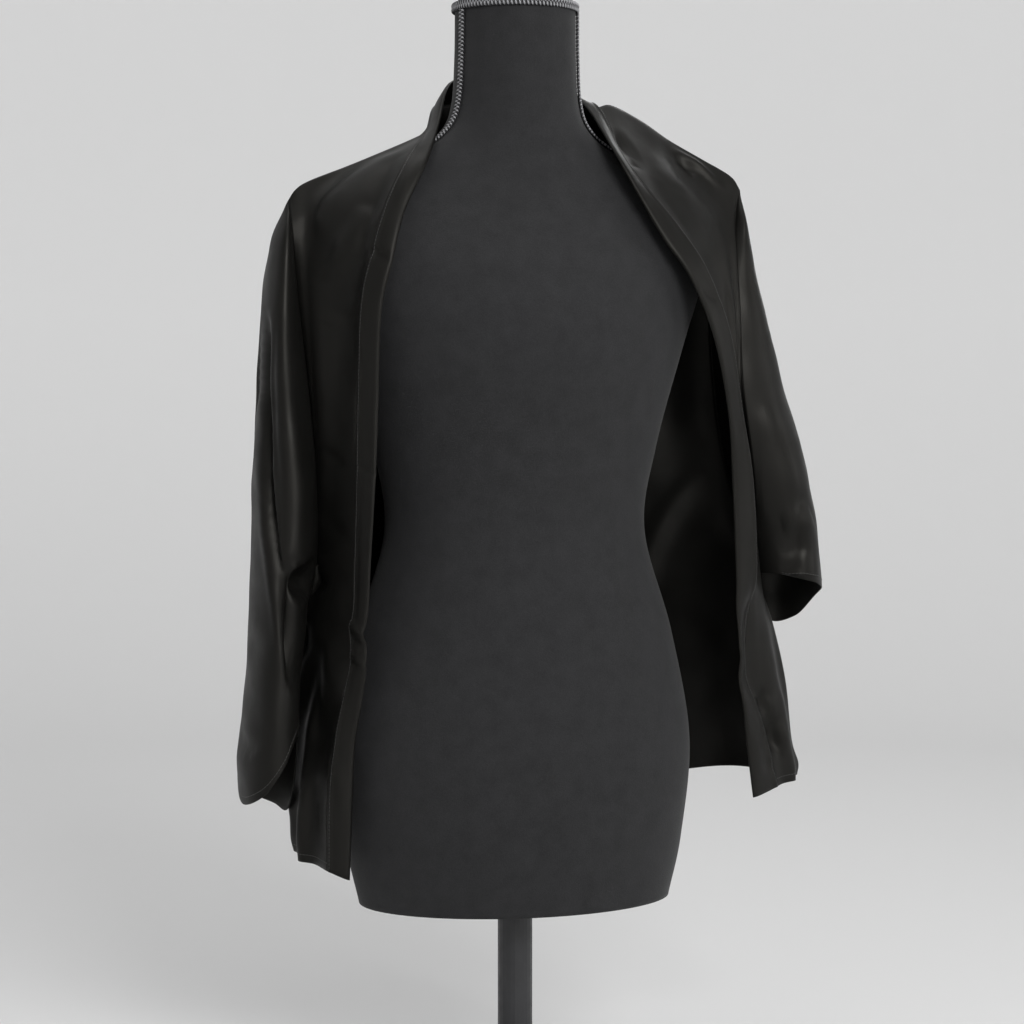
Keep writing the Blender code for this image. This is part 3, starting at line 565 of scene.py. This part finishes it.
def form_outward(p):
    """The distance of points from the form's surface, about, and the way out of it."""
    slopes = []
    for axis in np.eye(3):
        rise = form_level(p + SLOPE_STEP * axis) - form_level(p - SLOPE_STEP * axis)
        slopes.append(rise / (2 * SLOPE_STEP))
    slope = np.stack(slopes, axis=-1)
    steep = np.maximum(np.linalg.norm(slope, axis=-1), TINY)
    return form_level(p) / steep, slope / steep[..., None]


def clear_of_form(p, gap):
    """The points moved out until they are at least gap from the form."""
    for _ in range(CLEAR_ROUNDS):
        distance, outward = form_outward(p)
        short = np.maximum(gap - distance, 0)
        below_top = p[..., 2] < FORM[-1].height
        p = p + np.where(below_top, short, 0)[..., None] * outward
    return p


def form_point(angle, height):
    """A point on the form, at an angle in degrees from its front towards +X."""
    half_width, front, back = table_at(FORM, height)
    turn = np.radians(angle)
    depth = np.where(np.cos(turn) > 0, front, back)
    return np.stack([half_width * np.sin(turn), -depth * np.cos(turn), height], axis=-1)


# Cloth surfaces, as grids of points with a row for each step down and a column for each step across

def patch(top, bottom, left, right):
    """The Coons patch between four curves that share their corners."""
    u = np.linspace(0, 1, len(top))[None, :, None]
    v = np.linspace(0, 1, len(left))[:, None, None]
    ruled_down = (1 - v) * top[None] + v * bottom[None]
    ruled_across = (1 - u) * left[:, None] + u * right[:, None]
    corners = (1 - v) * ((1 - u) * top[0] + u * top[-1]) + v * ((1 - u) * bottom[0] + u * bottom[-1])
    return ruled_down + ruled_across - corners


def neighbour_mean(grid):
    """The mean of the four neighbours of each inner point of a grid."""
    return (grid[:-2, 1:-1] + grid[2:, 1:-1] + grid[1:-1, :-2] + grid[1:-1, 2:]) / 4


def relaxed(grid):
    """A patch settled on the form: its inside is smoothed and kept clear, and its edges stay."""
    grid = grid.copy()
    for _ in range(RELAX_STEPS):
        grid[1:-1, 1:-1] = clear_of_form(neighbour_mean(grid), FORM_CLEARANCE)
    return grid


def smoothed(grid, steps):
    """The grid with its kinks smoothed out, its seams as they are and its hem as high as it was."""
    grid = grid.copy()
    for _ in range(steps):
        grid[1:-1, 1:-1] = neighbour_mean(grid)
        grid[-1, 1:-1, :2] = (grid[-1, :-2, :2] + grid[-1, 2:, :2] + 2 * grid[-2, 1:-1, :2]) / 4
    return grid


def finer_rows(grid, times):
    """The grid with times as many rows, smoothly between its own."""
    return through(grid, times)


def finer_columns(grid, times):
    """The grid with times as many columns, smoothly between its own."""
    return through(grid.swapaxes(0, 1), times).swapaxes(0, 1)


def fitted(grid, top, bottom, left, right):
    """The grid moved smoothly so that its edges are these curves."""
    return grid + patch(top - grid[0], bottom - grid[-1], left - grid[:, 0], right - grid[:, -1])


def normals(grid, tube=False):
    """Unit normals of a grid, pointing away from the form's axis, or from its own axis on a tube."""
    down = np.array([0.0, 0.0, -1.0]) if tube else np.gradient(grid, axis=0)
    n = np.cross(down, np.gradient(grid, axis=1))
    axis = grid.mean(axis=1, keepdims=True) if tube else grid * [0, 0, 1]
    if np.sum(n * (grid - axis)) < 0:
        n = -n
    return unit(n)


def grid_shares(shape):
    """Shares from 0 to 1 down and across a grid of this shape."""
    return np.linspace(0, 1, shape[0])[:, None], np.linspace(0, 1, shape[1])[None, :]


def fold_height(shape, folds):
    """How far the folds lift each point of a grid of this shape."""
    v, u = grid_shares(shape)
    lift = np.zeros(shape)
    for fold in folds:
        along = (v - fold.start) / (fold.end - fold.start)
        run = np.where((along > 0) & (along < 1), np.sin(np.pi * np.clip(along, 0, 1)), 0)
        lift += fold.out * run * np.exp(-(((u - fold.across) / fold.width) ** 2))
    return lift * fade_at_sides(u, FOLD_EDGE)


def folded(grid, folds, tube=False, gap=FORM_CLEARANCE):
    """The grid with its folds, and its inside still clear of the form."""
    grid = grid + normals(grid, tube) * fold_height(grid.shape[:2], folds)[..., None]
    grid[1:-1, 1:-1] = clear_of_form(grid[1:-1, 1:-1], gap)
    return grid


def crease_height(grid, normal, creases, facing):
    """How far the creases lift each point of a grid, on its side towards the front (-1) or the back (1)."""
    flat = grid[..., [0, 2]]
    seen = smooth_step((facing * normal[..., 1] + FACING_REACH) / FACING_FADE)
    lift = np.zeros(grid.shape[:2])
    for crease in creases:
        line = through(crease.path, CREASE_STEPS)
        gap = np.linalg.norm(flat[:, :, None] - line, axis=-1)
        along = gap.argmin(axis=-1) / (len(line) - 1)
        lift += crease.out * np.sin(np.pi * along) * np.exp(-((gap.min(axis=-1) / crease.width) ** 2))
    return lift * seen


def creased(grid, creases, facing=-1, tube=False):
    """The grid with its creases and slow unevenness, its seams unmoved and its inside clear of the form."""
    normal = normals(grid, tube)
    lift = crease_height(grid, normal, creases, facing)
    lift += RIPPLE_OUT * np.mean([np.sin(grid @ np.array(wave)) for wave in RIPPLE_WAVES], axis=0)
    v, u = grid_shares(grid.shape)
    lift *= fade_at_sides(u, CREASE_EDGE) * smooth_step(v / CREASE_TOP)
    grid = grid + normal * lift[..., None]
    grid[1:-1, 1:-1] = clear_of_form(grid[1:-1, 1:-1], FORM_CLEARANCE)
    return grid


class SideSeams:
    """The seam curves of one side of the shrug, cut into cells, each of them into finer ones."""

    def __init__(self, band, shoulder, armhole, side, down=1, across=1):
        seam = through([row[:3] for row in band])
        edge = through([row[3:] for row in band])
        per_row = (len(seam) - 1) // (len(band) - 1)
        turn = SHOULDER_ROW * per_row
        neck = steps_along(seam[: turn + 1], NECK_HALF_CELLS * across)
        front = turn + steps_along(seam[turn:], (ARMHOLE_CELLS + SIDE_CELLS) * down)
        self.neck = pick(seam, neck)
        self.front = pick(seam, front)
        self.band_seam = np.vstack([self.neck, self.front[1:]])
        self.band_edge = np.vstack([pick(edge, neck), pick(edge, front)[1:]])
        self.shoulder = cut([self.front[0], *shoulder], SHOULDER_CELLS * across)
        tip, underarm = self.shoulder[-1], np.array(side[0])
        front_way = [(row.front_x, row.front_y, row.height) for row in armhole]
        back_way = [(row.back_x, row.back_y, row.height) for row in armhole]
        self.armhole_front = cut([tip, *front_way, underarm], ARMHOLE_CELLS * down, ARMHOLE_GRADE)
        self.armhole_back = cut([tip, *back_way, underarm], ARMHOLE_CELLS * down, ARMHOLE_GRADE)
        self.side = cut(side, SIDE_CELLS * down)
        self.outer_front = np.vstack([self.armhole_front, self.side[1:]])
        self.outer_back = np.vstack([self.armhole_back, self.side[1:]])


def front_grid(coarse, fine, folds):
    """A front panel, from the shoulder to the hem and from the band's seam to the armhole and the side."""
    hem = np.linspace(coarse.front[-1], coarse.side[-1], SHOULDER_CELLS + 1)
    grid = relaxed(patch(coarse.shoulder, hem, coarse.front, coarse.outer_front))
    grid = finer_columns(finer_rows(grid, FINER_DOWN), FINER_ACROSS)
    grid = fitted(grid, fine.shoulder, grid[-1], fine.front, fine.outer_front)
    return folded(grid, folds)


def back_top(right, left):
    """The back's upper edge, from the right shoulder tip round the neck to the left one."""
    return np.vstack([right.shoulder[::-1], right.neck[::-1][1:], left.neck[1:], left.shoulder[1:]])


def back_grid(coarse_sides, fine_sides):
    """The back panel, from the shoulders and neck to the hem, settled on the form and then softened."""
    right, left = coarse_sides
    top = back_top(right, left)
    hem = cut([right.side[-1], *BACK_HEM, left.side[-1]], len(top) - 1)
    grid = relaxed(patch(top, hem, right.outer_back, left.outer_back))
    grid = finer_columns(finer_rows(grid, FINER_DOWN), FINER_ACROSS)
    right, left = fine_sides
    grid = fitted(grid, back_top(right, left), grid[-1], right.outer_back, left.outer_back)
    grid = folded(smoothed(grid, SMOOTH_STEPS), BACK_FOLDS, gap=FORM_CLEARANCE + BACK_EASE)
    return smoothed(grid, SOFTEN_STEPS)


def sleeve_grid(coarse, fine, rows, cuff, folds, side):
    """An oval tube below the underarm, and above it the part of the tube outside the two armhole seams."""
    round_cells = SLEEVE_ROUND_CELLS * FINER_ACROSS
    u = np.linspace(0, 1, round_cells + 1)
    lip = table_at(cuff, u)[0]
    underarm = coarse.side[0]
    level_share = smooth_step(u)
    up_front = cut(fine.armhole_front[FINER_DOWN::-1], round_cells // 2)
    down_back = cut(fine.armhole_back[: FINER_DOWN + 1], round_cells // 2)
    grid = [np.vstack([up_front, down_back[1:]])]
    for step in range(2, ARMHOLE_CELLS + CUFF_CELLS + 1):
        if step <= ARMHOLE_CELLS:
            start, finish = coarse.armhole_front[step], coarse.armhole_back[step]
            height = start[2] + (finish[2] - start[2]) * level_share
            closing = smooth_step((step / ARMHOLE_CELLS - CLOSING_START) / (1 - CLOSING_START))
        else:
            below = (step - ARMHOLE_CELLS) / CUFF_CELLS
            height = underarm[2] + (lip - underarm[2]) * below
            closing = 1.0
        end_angle = OPEN_END_ANGLE + (CLOSED_END_ANGLE - OPEN_END_ANGLE) * closing
        angle = np.radians(-end_angle + (180 + 2 * end_angle) * u)
        centre_x, centre_y, half_width, half_depth = table_at(rows, height)
        ring_x = centre_x + side * half_width * np.sin(angle)
        ring_y = centre_y - half_depth * np.cos(angle)
        ring = np.stack([ring_x, ring_y, height], axis=1)
        if step <= ARMHOLE_CELLS:
            to_start, to_finish = start - ring[0], finish - ring[-1]
            last_shift = to_start
        else:
            to_start = to_finish = last_shift * (1 - smooth_step(below)) * [1, 1, 0]
        ring += np.clip(1 - u / END_BLEND, 0, 1)[:, None] ** 2 * to_start
        ring += np.clip(1 - (1 - u) / END_BLEND, 0, 1)[:, None] ** 2 * to_finish
        grid.append(ring)
    grid = finer_rows(np.array(grid), FINER_DOWN)
    seam_rows = (ARMHOLE_CELLS - 1) * FINER_DOWN
    start_edge, finish_edge = grid[:, 0].copy(), grid[:, -1].copy()
    start_edge[: seam_rows + 1] = fine.armhole_front[FINER_DOWN:]
    finish_edge[: seam_rows + 1] = fine.armhole_back[FINER_DOWN:]
    grid = fitted(grid, grid[0], grid[-1], start_edge, finish_edge)
    return folded(grid, folds, tube=True)


def band_grid(seams, creases):
    """One length of the band, between its seam and its free edge."""
    share = np.linspace(0, 1, BAND_ACROSS_CELLS + 1)
    grid = seams.band_seam[:, None] * (1 - share)[:, None] + seams.band_edge[:, None] * share[:, None]
    normal = normals(grid)
    lift = SEAM_RIDGE * np.exp(-(((share - SEAM_RIDGE_PLACE) / SEAM_RIDGE_WIDTH) ** 2))
    lift += BAND_PUFF * np.sin(np.pi * share)
    lift -= BAND_ROLL * np.clip((share - BAND_ROLL_START) / (1 - BAND_ROLL_START), 0, 1) ** 2
    lift = lift * (share > 0) + crease_height(grid, normal, creases, -1) * smooth_step(share / CREASE_EDGE)
    return grid + normal * lift[..., None]


# Materials

class Surface:
    """A material with one shader, and short ways to make its nodes and join them."""

    def __init__(self, name):
        self.material = bpy.data.materials.new(name)
        self.material.use_nodes = True
        self.nodes = self.material.node_tree.nodes
        self.links = self.material.node_tree.links
        self.shader = self.nodes["Principled BSDF"]
        place = self.nodes.new("ShaderNodeTexCoord")
        self.cloth = place.outputs["UV"]
        self.solid = place.outputs["Object"]

    def node(self, kind, entry, source, **values):
        """A new node with a source joined to one of its entries and plain values at others."""
        node = self.nodes.new(kind)
        for name, value in values.items():
            node.inputs[name].default_value = value
        self.links.new(source, node.inputs[entry])
        return node

    def noise(self, vector, scale, detail=2.0, roughness=0.5):
        values = {"Scale": scale, "Detail": detail, "Roughness": roughness}
        return self.node("ShaderNodeTexNoise", "Vector", vector, **values).outputs["Fac"]

    def stretched(self, vector, scale):
        return self.node("ShaderNodeMapping", "Vector", vector, Scale=scale).outputs["Vector"]

    def bump(self, height, strength, distance, under=None):
        node = self.node("ShaderNodeBump", "Height", height, Strength=strength, Distance=distance)
        if under is not None:
            self.links.new(under, node.inputs["Normal"])
        return node.outputs["Normal"]

    def ramp(self, factor, tones, start=0.3, end=0.7):
        """Colours or grey values from the first tone to the second, as the factor goes from start to end."""
        node = self.node("ShaderNodeValToRGB", "Fac", factor)
        for element, place, tone in zip(node.color_ramp.elements, (start, end), tones):
            element.position = place
            element.color = (*tone, 1.0) if hasattr(tone, "__len__") else (tone, tone, tone, 1.0)
        return node.outputs["Color"]

    def feed(self, entry, source):
        """Joins a source to an entry of the shader."""
        self.links.new(source, self.shader.inputs[entry])

    def vary(self, entry, tones, scale, detail=2.0, roughness=0.5):
        """Varies an entry of the shader between two tones, in patches."""
        self.feed(entry, self.ramp(self.noise(self.solid, scale, detail, roughness), tones))

    def fix(self, entry, value):
        """Sets a plain value at an entry of the shader."""
        self.shader.inputs[entry].default_value = value


def satin_material():
    satin = Surface("black_satin")
    satin.vary("Base Color", SATIN_TONES, scale=9.0, detail=3.0)
    satin.vary("Roughness", SATIN_ROUGHNESS, scale=34.0, detail=4.0)
    warp = satin.noise(satin.stretched(satin.cloth, WARP_WAVES), scale=1.0)
    weft = satin.noise(satin.stretched(satin.cloth, WEFT_WAVES), scale=1.0, detail=1.0)
    warp_threads = satin.bump(warp, strength=0.18, distance=0.0002)
    satin.feed("Normal", satin.bump(weft, strength=0.10, distance=0.0002, under=warp_threads))
    satin.fix("Specular IOR Level", SATIN_SHINE)
    satin.fix("Specular Tint", SATIN_SHINE_TINT)
    return satin.material


def jersey_material():
    jersey = Surface("charcoal_jersey")
    jersey.vary("Base Color", JERSEY_TONES, scale=60.0, detail=4.0, roughness=0.6)
    jersey.vary("Roughness", JERSEY_ROUGHNESS, scale=900.0, detail=3.0)
    knit = jersey.noise(jersey.stretched(jersey.solid, KNIT_WAVES), scale=1.0)
    jersey.feed("Normal", jersey.bump(knit, strength=0.35, distance=0.0004))
    jersey.fix("Specular IOR Level", JERSEY_SHINE)
    jersey.fix("Sheen Weight", JERSEY_SHEEN)
    return jersey.material


def thread_material():
    thread = Surface("black_thread")
    thread.vary("Base Color", THREAD_TONES, scale=300.0)
    thread.vary("Roughness", THREAD_ROUGHNESS, scale=3000.0)
    return thread.material


def braid_material():
    """Painted highlight on the crowns of the strands and painted shade between them."""
    braid = Surface("grey_braid")
    painted_light_height = braid.nodes.new("ShaderNodeAttribute")
    painted_light_height.attribute_name = BRAID_PAINTED_LIGHT
    braid.feed("Base Color", braid.ramp(painted_light_height.outputs["Fac"], BRAID_PAINTED_SHADE_TO_HIGHLIGHT, start=0.60, end=0.95))
    fibre = braid.noise(braid.solid, scale=2400.0)
    braid.feed("Roughness", braid.ramp(fibre, BRAID_ROUGHNESS))
    braid.feed("Normal", braid.bump(fibre, strength=0.4, distance=0.0003))
    return braid.material


def stand_material():
    paint = Surface("black_stand_paint")
    paint.vary("Base Color", PAINT_TONES, scale=25.0, detail=3.0)
    paint.vary("Roughness", PAINT_ROUGHNESS, scale=140.0, detail=4.0)
    peel = paint.noise(paint.solid, scale=700.0)
    paint.feed("Normal", paint.bump(peel, strength=0.15, distance=0.0003))
    return paint.material


def studio_material():
    """Painted shade: a little darker on the floor than on the wall."""
    studio = Surface("pale_studio")
    height = studio.node("ShaderNodeSeparateXYZ", "Vector", studio.solid).outputs["Z"]
    studio.feed("Base Color", studio.ramp(height, STUDIO_PAINTED_SHADE_TONES, start=0.0, end=STUDIO_PAINTED_SHADE_TOP))
    studio.fix("Roughness", STUDIO_ROUGHNESS)
    studio.fix("Specular IOR Level", STUDIO_SHINE)
    return studio.material


# Pieces

def link_object(name, data):
    obj = bpy.data.objects.new(name, data)
    bpy.context.scene.collection.objects.link(obj)
    return obj


def link_mesh(name, points, faces, material):
    mesh = bpy.data.meshes.new(name)
    mesh.from_pydata([tuple(p) for p in points], [], faces)
    mesh.materials.append(material)
    mesh.shade_smooth()
    return link_object(name, mesh)


def grid_faces(rows, columns, round_closed=False):
    """Quads between the points of a grid, whose last column also meets the first if it is closed round."""
    faces = []
    last = columns if round_closed else columns - 1
    for r in range(rows - 1):
        for c in range(last):
            d = (c + 1) % columns
            faces.append((r * columns + c, r * columns + d, (r + 1) * columns + d, (r + 1) * columns + c))
    return faces


def link_grid(name, grid, material, round_closed=False):
    rows, columns = grid.shape[:2]
    return link_mesh(name, grid.reshape(-1, 3), grid_faces(rows, columns, round_closed), material)


def mend(obj, merge=False, fill=False, turn_out=False):
    """Merges points that meet, fills holes and turns faces outward, each where it is asked for."""
    bm = bmesh.new()
    bm.from_mesh(obj.data)
    if merge:
        bmesh.ops.remove_doubles(bm, verts=bm.verts, dist=MERGE_DISTANCE)
    if fill:
        bmesh.ops.holes_fill(bm, edges=bm.edges, sides=0)
    if turn_out:
        bmesh.ops.recalc_face_normals(bm, faces=bm.faces)
    bm.to_mesh(obj.data)
    bm.free()


def face_outward(obj, outward):
    """Turns the mesh's faces so that they look the way of the grid's normals."""
    mesh = obj.data
    middle = mesh.polygons[len(mesh.polygons) // 2]
    if np.dot(middle.normal, outward[middle.vertices[0]]) < 0:
        mesh.flip_normals()


def cloth_lengths(grid):
    """Distances along the cloth, across and down, for each point of a grid."""
    across = np.array([run_along(row) for row in grid])
    down = np.array([run_along(column) for column in grid.swapaxes(0, 1)]).T
    return np.stack([across, down], axis=-1)


def add_cloth(name, grid, wall, material, tube=False):
    """A grid as a thin shell, with its lengths along the cloth as texture coordinates."""
    obj = link_grid(name, grid, material)
    face_outward(obj, normals(grid, tube).reshape(-1, 3))
    lengths = cloth_lengths(grid).reshape(-1, 2)
    layer = obj.data.uv_layers.new(name="cloth")
    for loop in obj.data.loops:
        layer.data[loop.index].uv = lengths[loop.vertex_index]
    if tube:
        mend(obj, merge=True)
    shell = obj.modifiers.new("Shell", "SOLIDIFY")
    shell.thickness = wall
    shell.offset = 0.0
    return obj


def hem_line(grid):
    """Points a hem's depth up from the lower edge of a grid."""
    columns = grid[::-1].swapaxes(0, 1)
    return np.array([pick(column, places_at(column, [HEM_DEPTH]))[0] for column in columns])


def add_stitches(name, line, outward, material):
    """A row of short stitches along a line on the cloth."""
    count = int(run_along(line)[-1] / STITCH_PITCH)
    middles = (np.arange(count) + 0.5) * STITCH_PITCH
    stations = middles[:, None] + STITCH_LONG * STITCH_STATIONS
    places = places_at(line, stations.ravel())
    centres = pick(line, places)
    out = pick(outward, places)
    way = np.gradient(centres, axis=0)
    across = unit(np.cross(out, way))
    girth = (STITCH_THICK / 2 * np.tile(STITCH_GIRTHS, count))[:, None, None]
    turn = np.linspace(0, 2 * np.pi, STITCH_SIDES, endpoint=False)[None, :, None]
    rings = centres[:, None] + girth * (np.cos(turn) * across[:, None] + np.sin(turn) * out[:, None])
    stitch_points = len(STITCH_STATIONS) * STITCH_SIDES
    sides = grid_faces(len(STITCH_STATIONS), STITCH_SIDES, round_closed=True)
    faces = []
    for first in range(0, count * stitch_points, stitch_points):
        last = first + stitch_points - STITCH_SIDES
        faces.extend(tuple(first + i for i in face) for face in sides)
        faces.append(tuple(first + i for i in range(STITCH_SIDES))[::-1])
        faces.append(tuple(last + i for i in range(STITCH_SIDES)))
    obj = link_mesh(name, rings.reshape(-1, 3), faces, material)
    mend(obj, turn_out=True)
    return obj


def add_torso(material):
    """The form's skin, closed flat at its lower end and its top."""
    heights = np.linspace(FORM[0].height, FORM[-1].height, TORSO_TALL_CELLS + 1)
    angles = np.linspace(0, 360, TORSO_ROUND_CELLS, endpoint=False)
    rings = [form_point(angles, np.full_like(angles, z)) for z in heights]
    under = [rings[0] * [share, share, 1] for share in TORSO_END_SHARES]
    over = [rings[-1] * [share, share, 1] for share in TORSO_END_SHARES[::-1]]
    grid = np.array([*under, *rings, *over])
    obj = link_grid("torso_skin", grid, material, round_closed=True)
    mend(obj, fill=True, turn_out=True)
    return obj


def strand(centres, across, outward):
    """Rings of points round a strand's line, flat across and thin outward."""
    turn = np.linspace(0, 2 * np.pi, STRAND_SIDES, endpoint=False)
    wide = STRAND_WIDE * np.cos(turn)[None, :, None] * across[:, None]
    high = STRAND_HIGH * np.sin(turn)[None, :, None] * outward[:, None]
    return centres[:, None] + wide + high


def add_braid(name, line, along_ring, material):
    """Three strands plaited along a line of points on the form."""
    length = run_along(line)[-1]
    repeats = max(1, round(length / BRAID_REPEAT))
    steps = repeats * STEPS_PER_REPEAT + 1
    middle = pick(line, places_at(line, np.linspace(0, length, steps)))
    outward = form_outward(middle)[1]
    way = unit(np.gradient(middle, axis=0))
    across = np.cross(outward, way)
    phase = np.linspace(0, 2 * np.pi * repeats, steps)[:, None]
    points, faces, painted_light_heights = [], [], []
    for lag in (0, 2 * np.pi / 3, 4 * np.pi / 3):
        swing = BRAID_SWING * np.sin(phase + lag)
        rise = STRAND_HIGH + BRAID_RISE * (1 + np.sin(2 * (phase + lag)))
        rings = strand(middle + across * swing + outward * rise, across, outward)
        base = len(points)
        rows, columns = rings.shape[:2]
        points.extend(rings.reshape(-1, 3))
        # How high each ring stands, which sets the braid's painted highlight and painted shade
        painted_light_heights.extend(np.repeat((rise - STRAND_HIGH) / (2 * BRAID_RISE), columns))
        faces.extend([tuple(base + i for i in face) for face in grid_faces(rows, columns, round_closed=True)])
        if not along_ring:
            faces.append(tuple(base + i for i in range(columns))[::-1])
            faces.append(tuple(base + (rows - 1) * columns + i for i in range(columns)))
    obj = link_mesh(name, points, faces, material)
    obj.data.attributes.new(BRAID_PAINTED_LIGHT, "FLOAT", "POINT").data.foreach_set("value", painted_light_heights)
    mend(obj, merge=True, turn_out=True)
    return obj


def add_braids(material):
    """A ring of braid round the top of the neck and a strip down each side of it."""
    middle_height = BRAID_TOP - BRAID_WIDTH / 2
    ring_angles = np.linspace(0, 360, BRAID_RING_POINTS)
    ring = form_point(ring_angles, np.full_like(ring_angles, middle_height))
    pieces = {"form_braid_neck": add_braid("braid_neck", ring, True, material)}
    heights = np.linspace(BRAID_TOP - BRAID_WIDTH, BRAID_LOW, BRAID_STRIP_POINTS)
    for node, name, sign in (("form_braid_right", "braid_right", -1), ("form_braid_left", "braid_left", 1)):
        line = form_point(np.full_like(heights, sign * BRAID_ANGLE), heights)
        pieces[node] = add_braid(name, line, False, material)
    for node, piece in pieces.items():
        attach(piece, "root")
        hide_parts(node)


def add_form():
    """The dress form: new skin and braid, and new materials on the CAD's cap, pole and base."""
    jersey = jersey_material()
    torso = add_torso(jersey)
    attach(torso, "root")
    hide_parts("form_torso")
    add_braids(braid_material())
    metal = stand_material()
    for node, material in (("form_neck_cap", jersey), ("form_pole", metal), ("form_base", metal)):
        for place in frame["nodes"][node].material_slots:
            place.material = material


def shrug_grids():
    """The grid of each cloth piece, by name."""
    tables = [
        (BAND_RIGHT, SHOULDER_RIGHT, ARMHOLE_RIGHT, SIDE_RIGHT),
        (BAND_LEFT, SHOULDER_LEFT, ARMHOLE_LEFT, SIDE_LEFT),
    ]
    coarse_right, coarse_left = [SideSeams(*table) for table in tables]
    fine_right, fine_left = [SideSeams(*table, FINER_DOWN, FINER_ACROSS) for table in tables]
    return {
        "front_right": creased(front_grid(coarse_right, fine_right, FRONT_RIGHT_FOLDS), FRONT_RIGHT_CREASES),
        "front_left": creased(front_grid(coarse_left, fine_left, FRONT_LEFT_FOLDS), FRONT_LEFT_CREASES),
        "back": creased(
            back_grid((coarse_right, coarse_left), (fine_right, fine_left)), BACK_CREASES, facing=1
        ),
        "sleeve_right": creased(
            sleeve_grid(coarse_right, fine_right, SLEEVE_RIGHT, CUFF_RIGHT, SLEEVE_RIGHT_FOLDS, -1),
            SLEEVE_RIGHT_CREASES,
            tube=True,
        ),
        "sleeve_left": creased(
            sleeve_grid(coarse_left, fine_left, SLEEVE_LEFT, CUFF_LEFT, SLEEVE_LEFT_FOLDS, 1),
            SLEEVE_LEFT_CREASES,
            tube=True,
        ),
        "band_right": band_grid(fine_right, BAND_RIGHT_CREASES),
        "band_left": band_grid(fine_left, BAND_LEFT_CREASES),
    }


def add_shrug():
    """Each piece of cloth, with a row of stitches along the band's seam or above the hem."""
    satin = satin_material()
    thread = thread_material()
    for name, grid in shrug_grids().items():
        tube = "sleeve" in name
        wall = BAND_WALL if "band" in name else SATIN_WALL
        piece = add_cloth(name + "_cloth", grid, wall, satin, tube)
        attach(piece, "root")
        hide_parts("shrug_" + name)
        outward = normals(grid, tube)
        if "band" in name:
            line, outward = grid[:, 1], outward[:, 1]
        else:
            line, outward = hem_line(grid), outward[-2]
        row = add_stitches(name + "_stitches", line + outward * wall / 2, outward, thread)
        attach(row, "root")


# The studio

def add_studio():
    """A round floor that curves up into a wall on every side."""
    turn = np.linspace(0, np.pi / 2, COVE_POINTS)
    cove = [(FLOOR_RADIUS + COVE_RADIUS * np.sin(a), COVE_RADIUS * (1 - np.cos(a))) for a in turn]
    profile = [(FLOOR_MIDDLE, 0.0), *cove, (FLOOR_RADIUS + COVE_RADIUS, WALL_TOP)]
    angles = np.linspace(0, 2 * np.pi, STAGE_SEGMENTS, endpoint=False)
    grid = np.array([[(r * np.cos(a), r * np.sin(a), z) for a in angles] for r, z in profile])
    stage = link_grid("studio", grid, studio_material(), round_closed=True)


def add_light(light):
    data = bpy.data.lights.new(light.name, "AREA")
    data.shape = "RECTANGLE"
    data.size, data.size_y = light.size
    data.energy = light.power
    obj = link_object(light.name, data)
    obj.location = light.place
    way = np.array(light.aim) - np.array(light.place)
    across = np.hypot(way[0], way[1])
    obj.rotation_euler = (np.arctan2(across, -way[2]), 0.0, np.arctan2(-way[0], way[1]))
    obj.visible_camera = False
    return obj


def add_lights():
    """Soft light all round. Some of it falls on the object alone and leaves the studio even."""
    object_pieces = bpy.data.collections.new("object_pieces")
    for obj in bpy.context.scene.objects:
        if obj.type == "MESH":
            object_pieces.objects.link(obj)
    for light in LIGHTS:
        lamp = add_light(light)
        if light.object_alone:
            lamp.light_linking.receiver_collection = object_pieces
    world = bpy.data.worlds.new("studio_air")
    world.use_nodes = True
    background = world.node_tree.nodes["Background"]
    background.inputs["Color"].default_value = (1.0, 1.0, 1.0, 1.0)
    background.inputs["Strength"].default_value = AIR_LIGHT
    bpy.context.scene.world = world


def add_camera():
    """The camera of the main view, turned and tipped about the point it aims at."""
    turn, down = np.radians(CAMERA_TURN), np.radians(CAMERA_DOWN)
    back = np.array([np.sin(turn) * np.cos(down), -np.cos(turn) * np.cos(down), np.sin(down)])
    right = np.array([np.cos(turn), np.sin(turn), 0.0])
    data = bpy.data.cameras.new("camera")
    data.sensor_width = CAMERA_SENSOR
    data.lens = CAMERA_LENS
    camera = link_object("camera", data)
    camera.location = np.array(CAMERA_AIM) + back * CAMERA_DISTANCE - right * CAMERA_SLIDE
    camera.rotation_euler = (np.pi / 2 - down, 0.0, turn)
    bpy.context.scene.camera = camera


add_camera()
add_form()
add_shrug()
add_lights()
add_studio()
bpy.context.scene.view_settings.view_transform = "Standard"
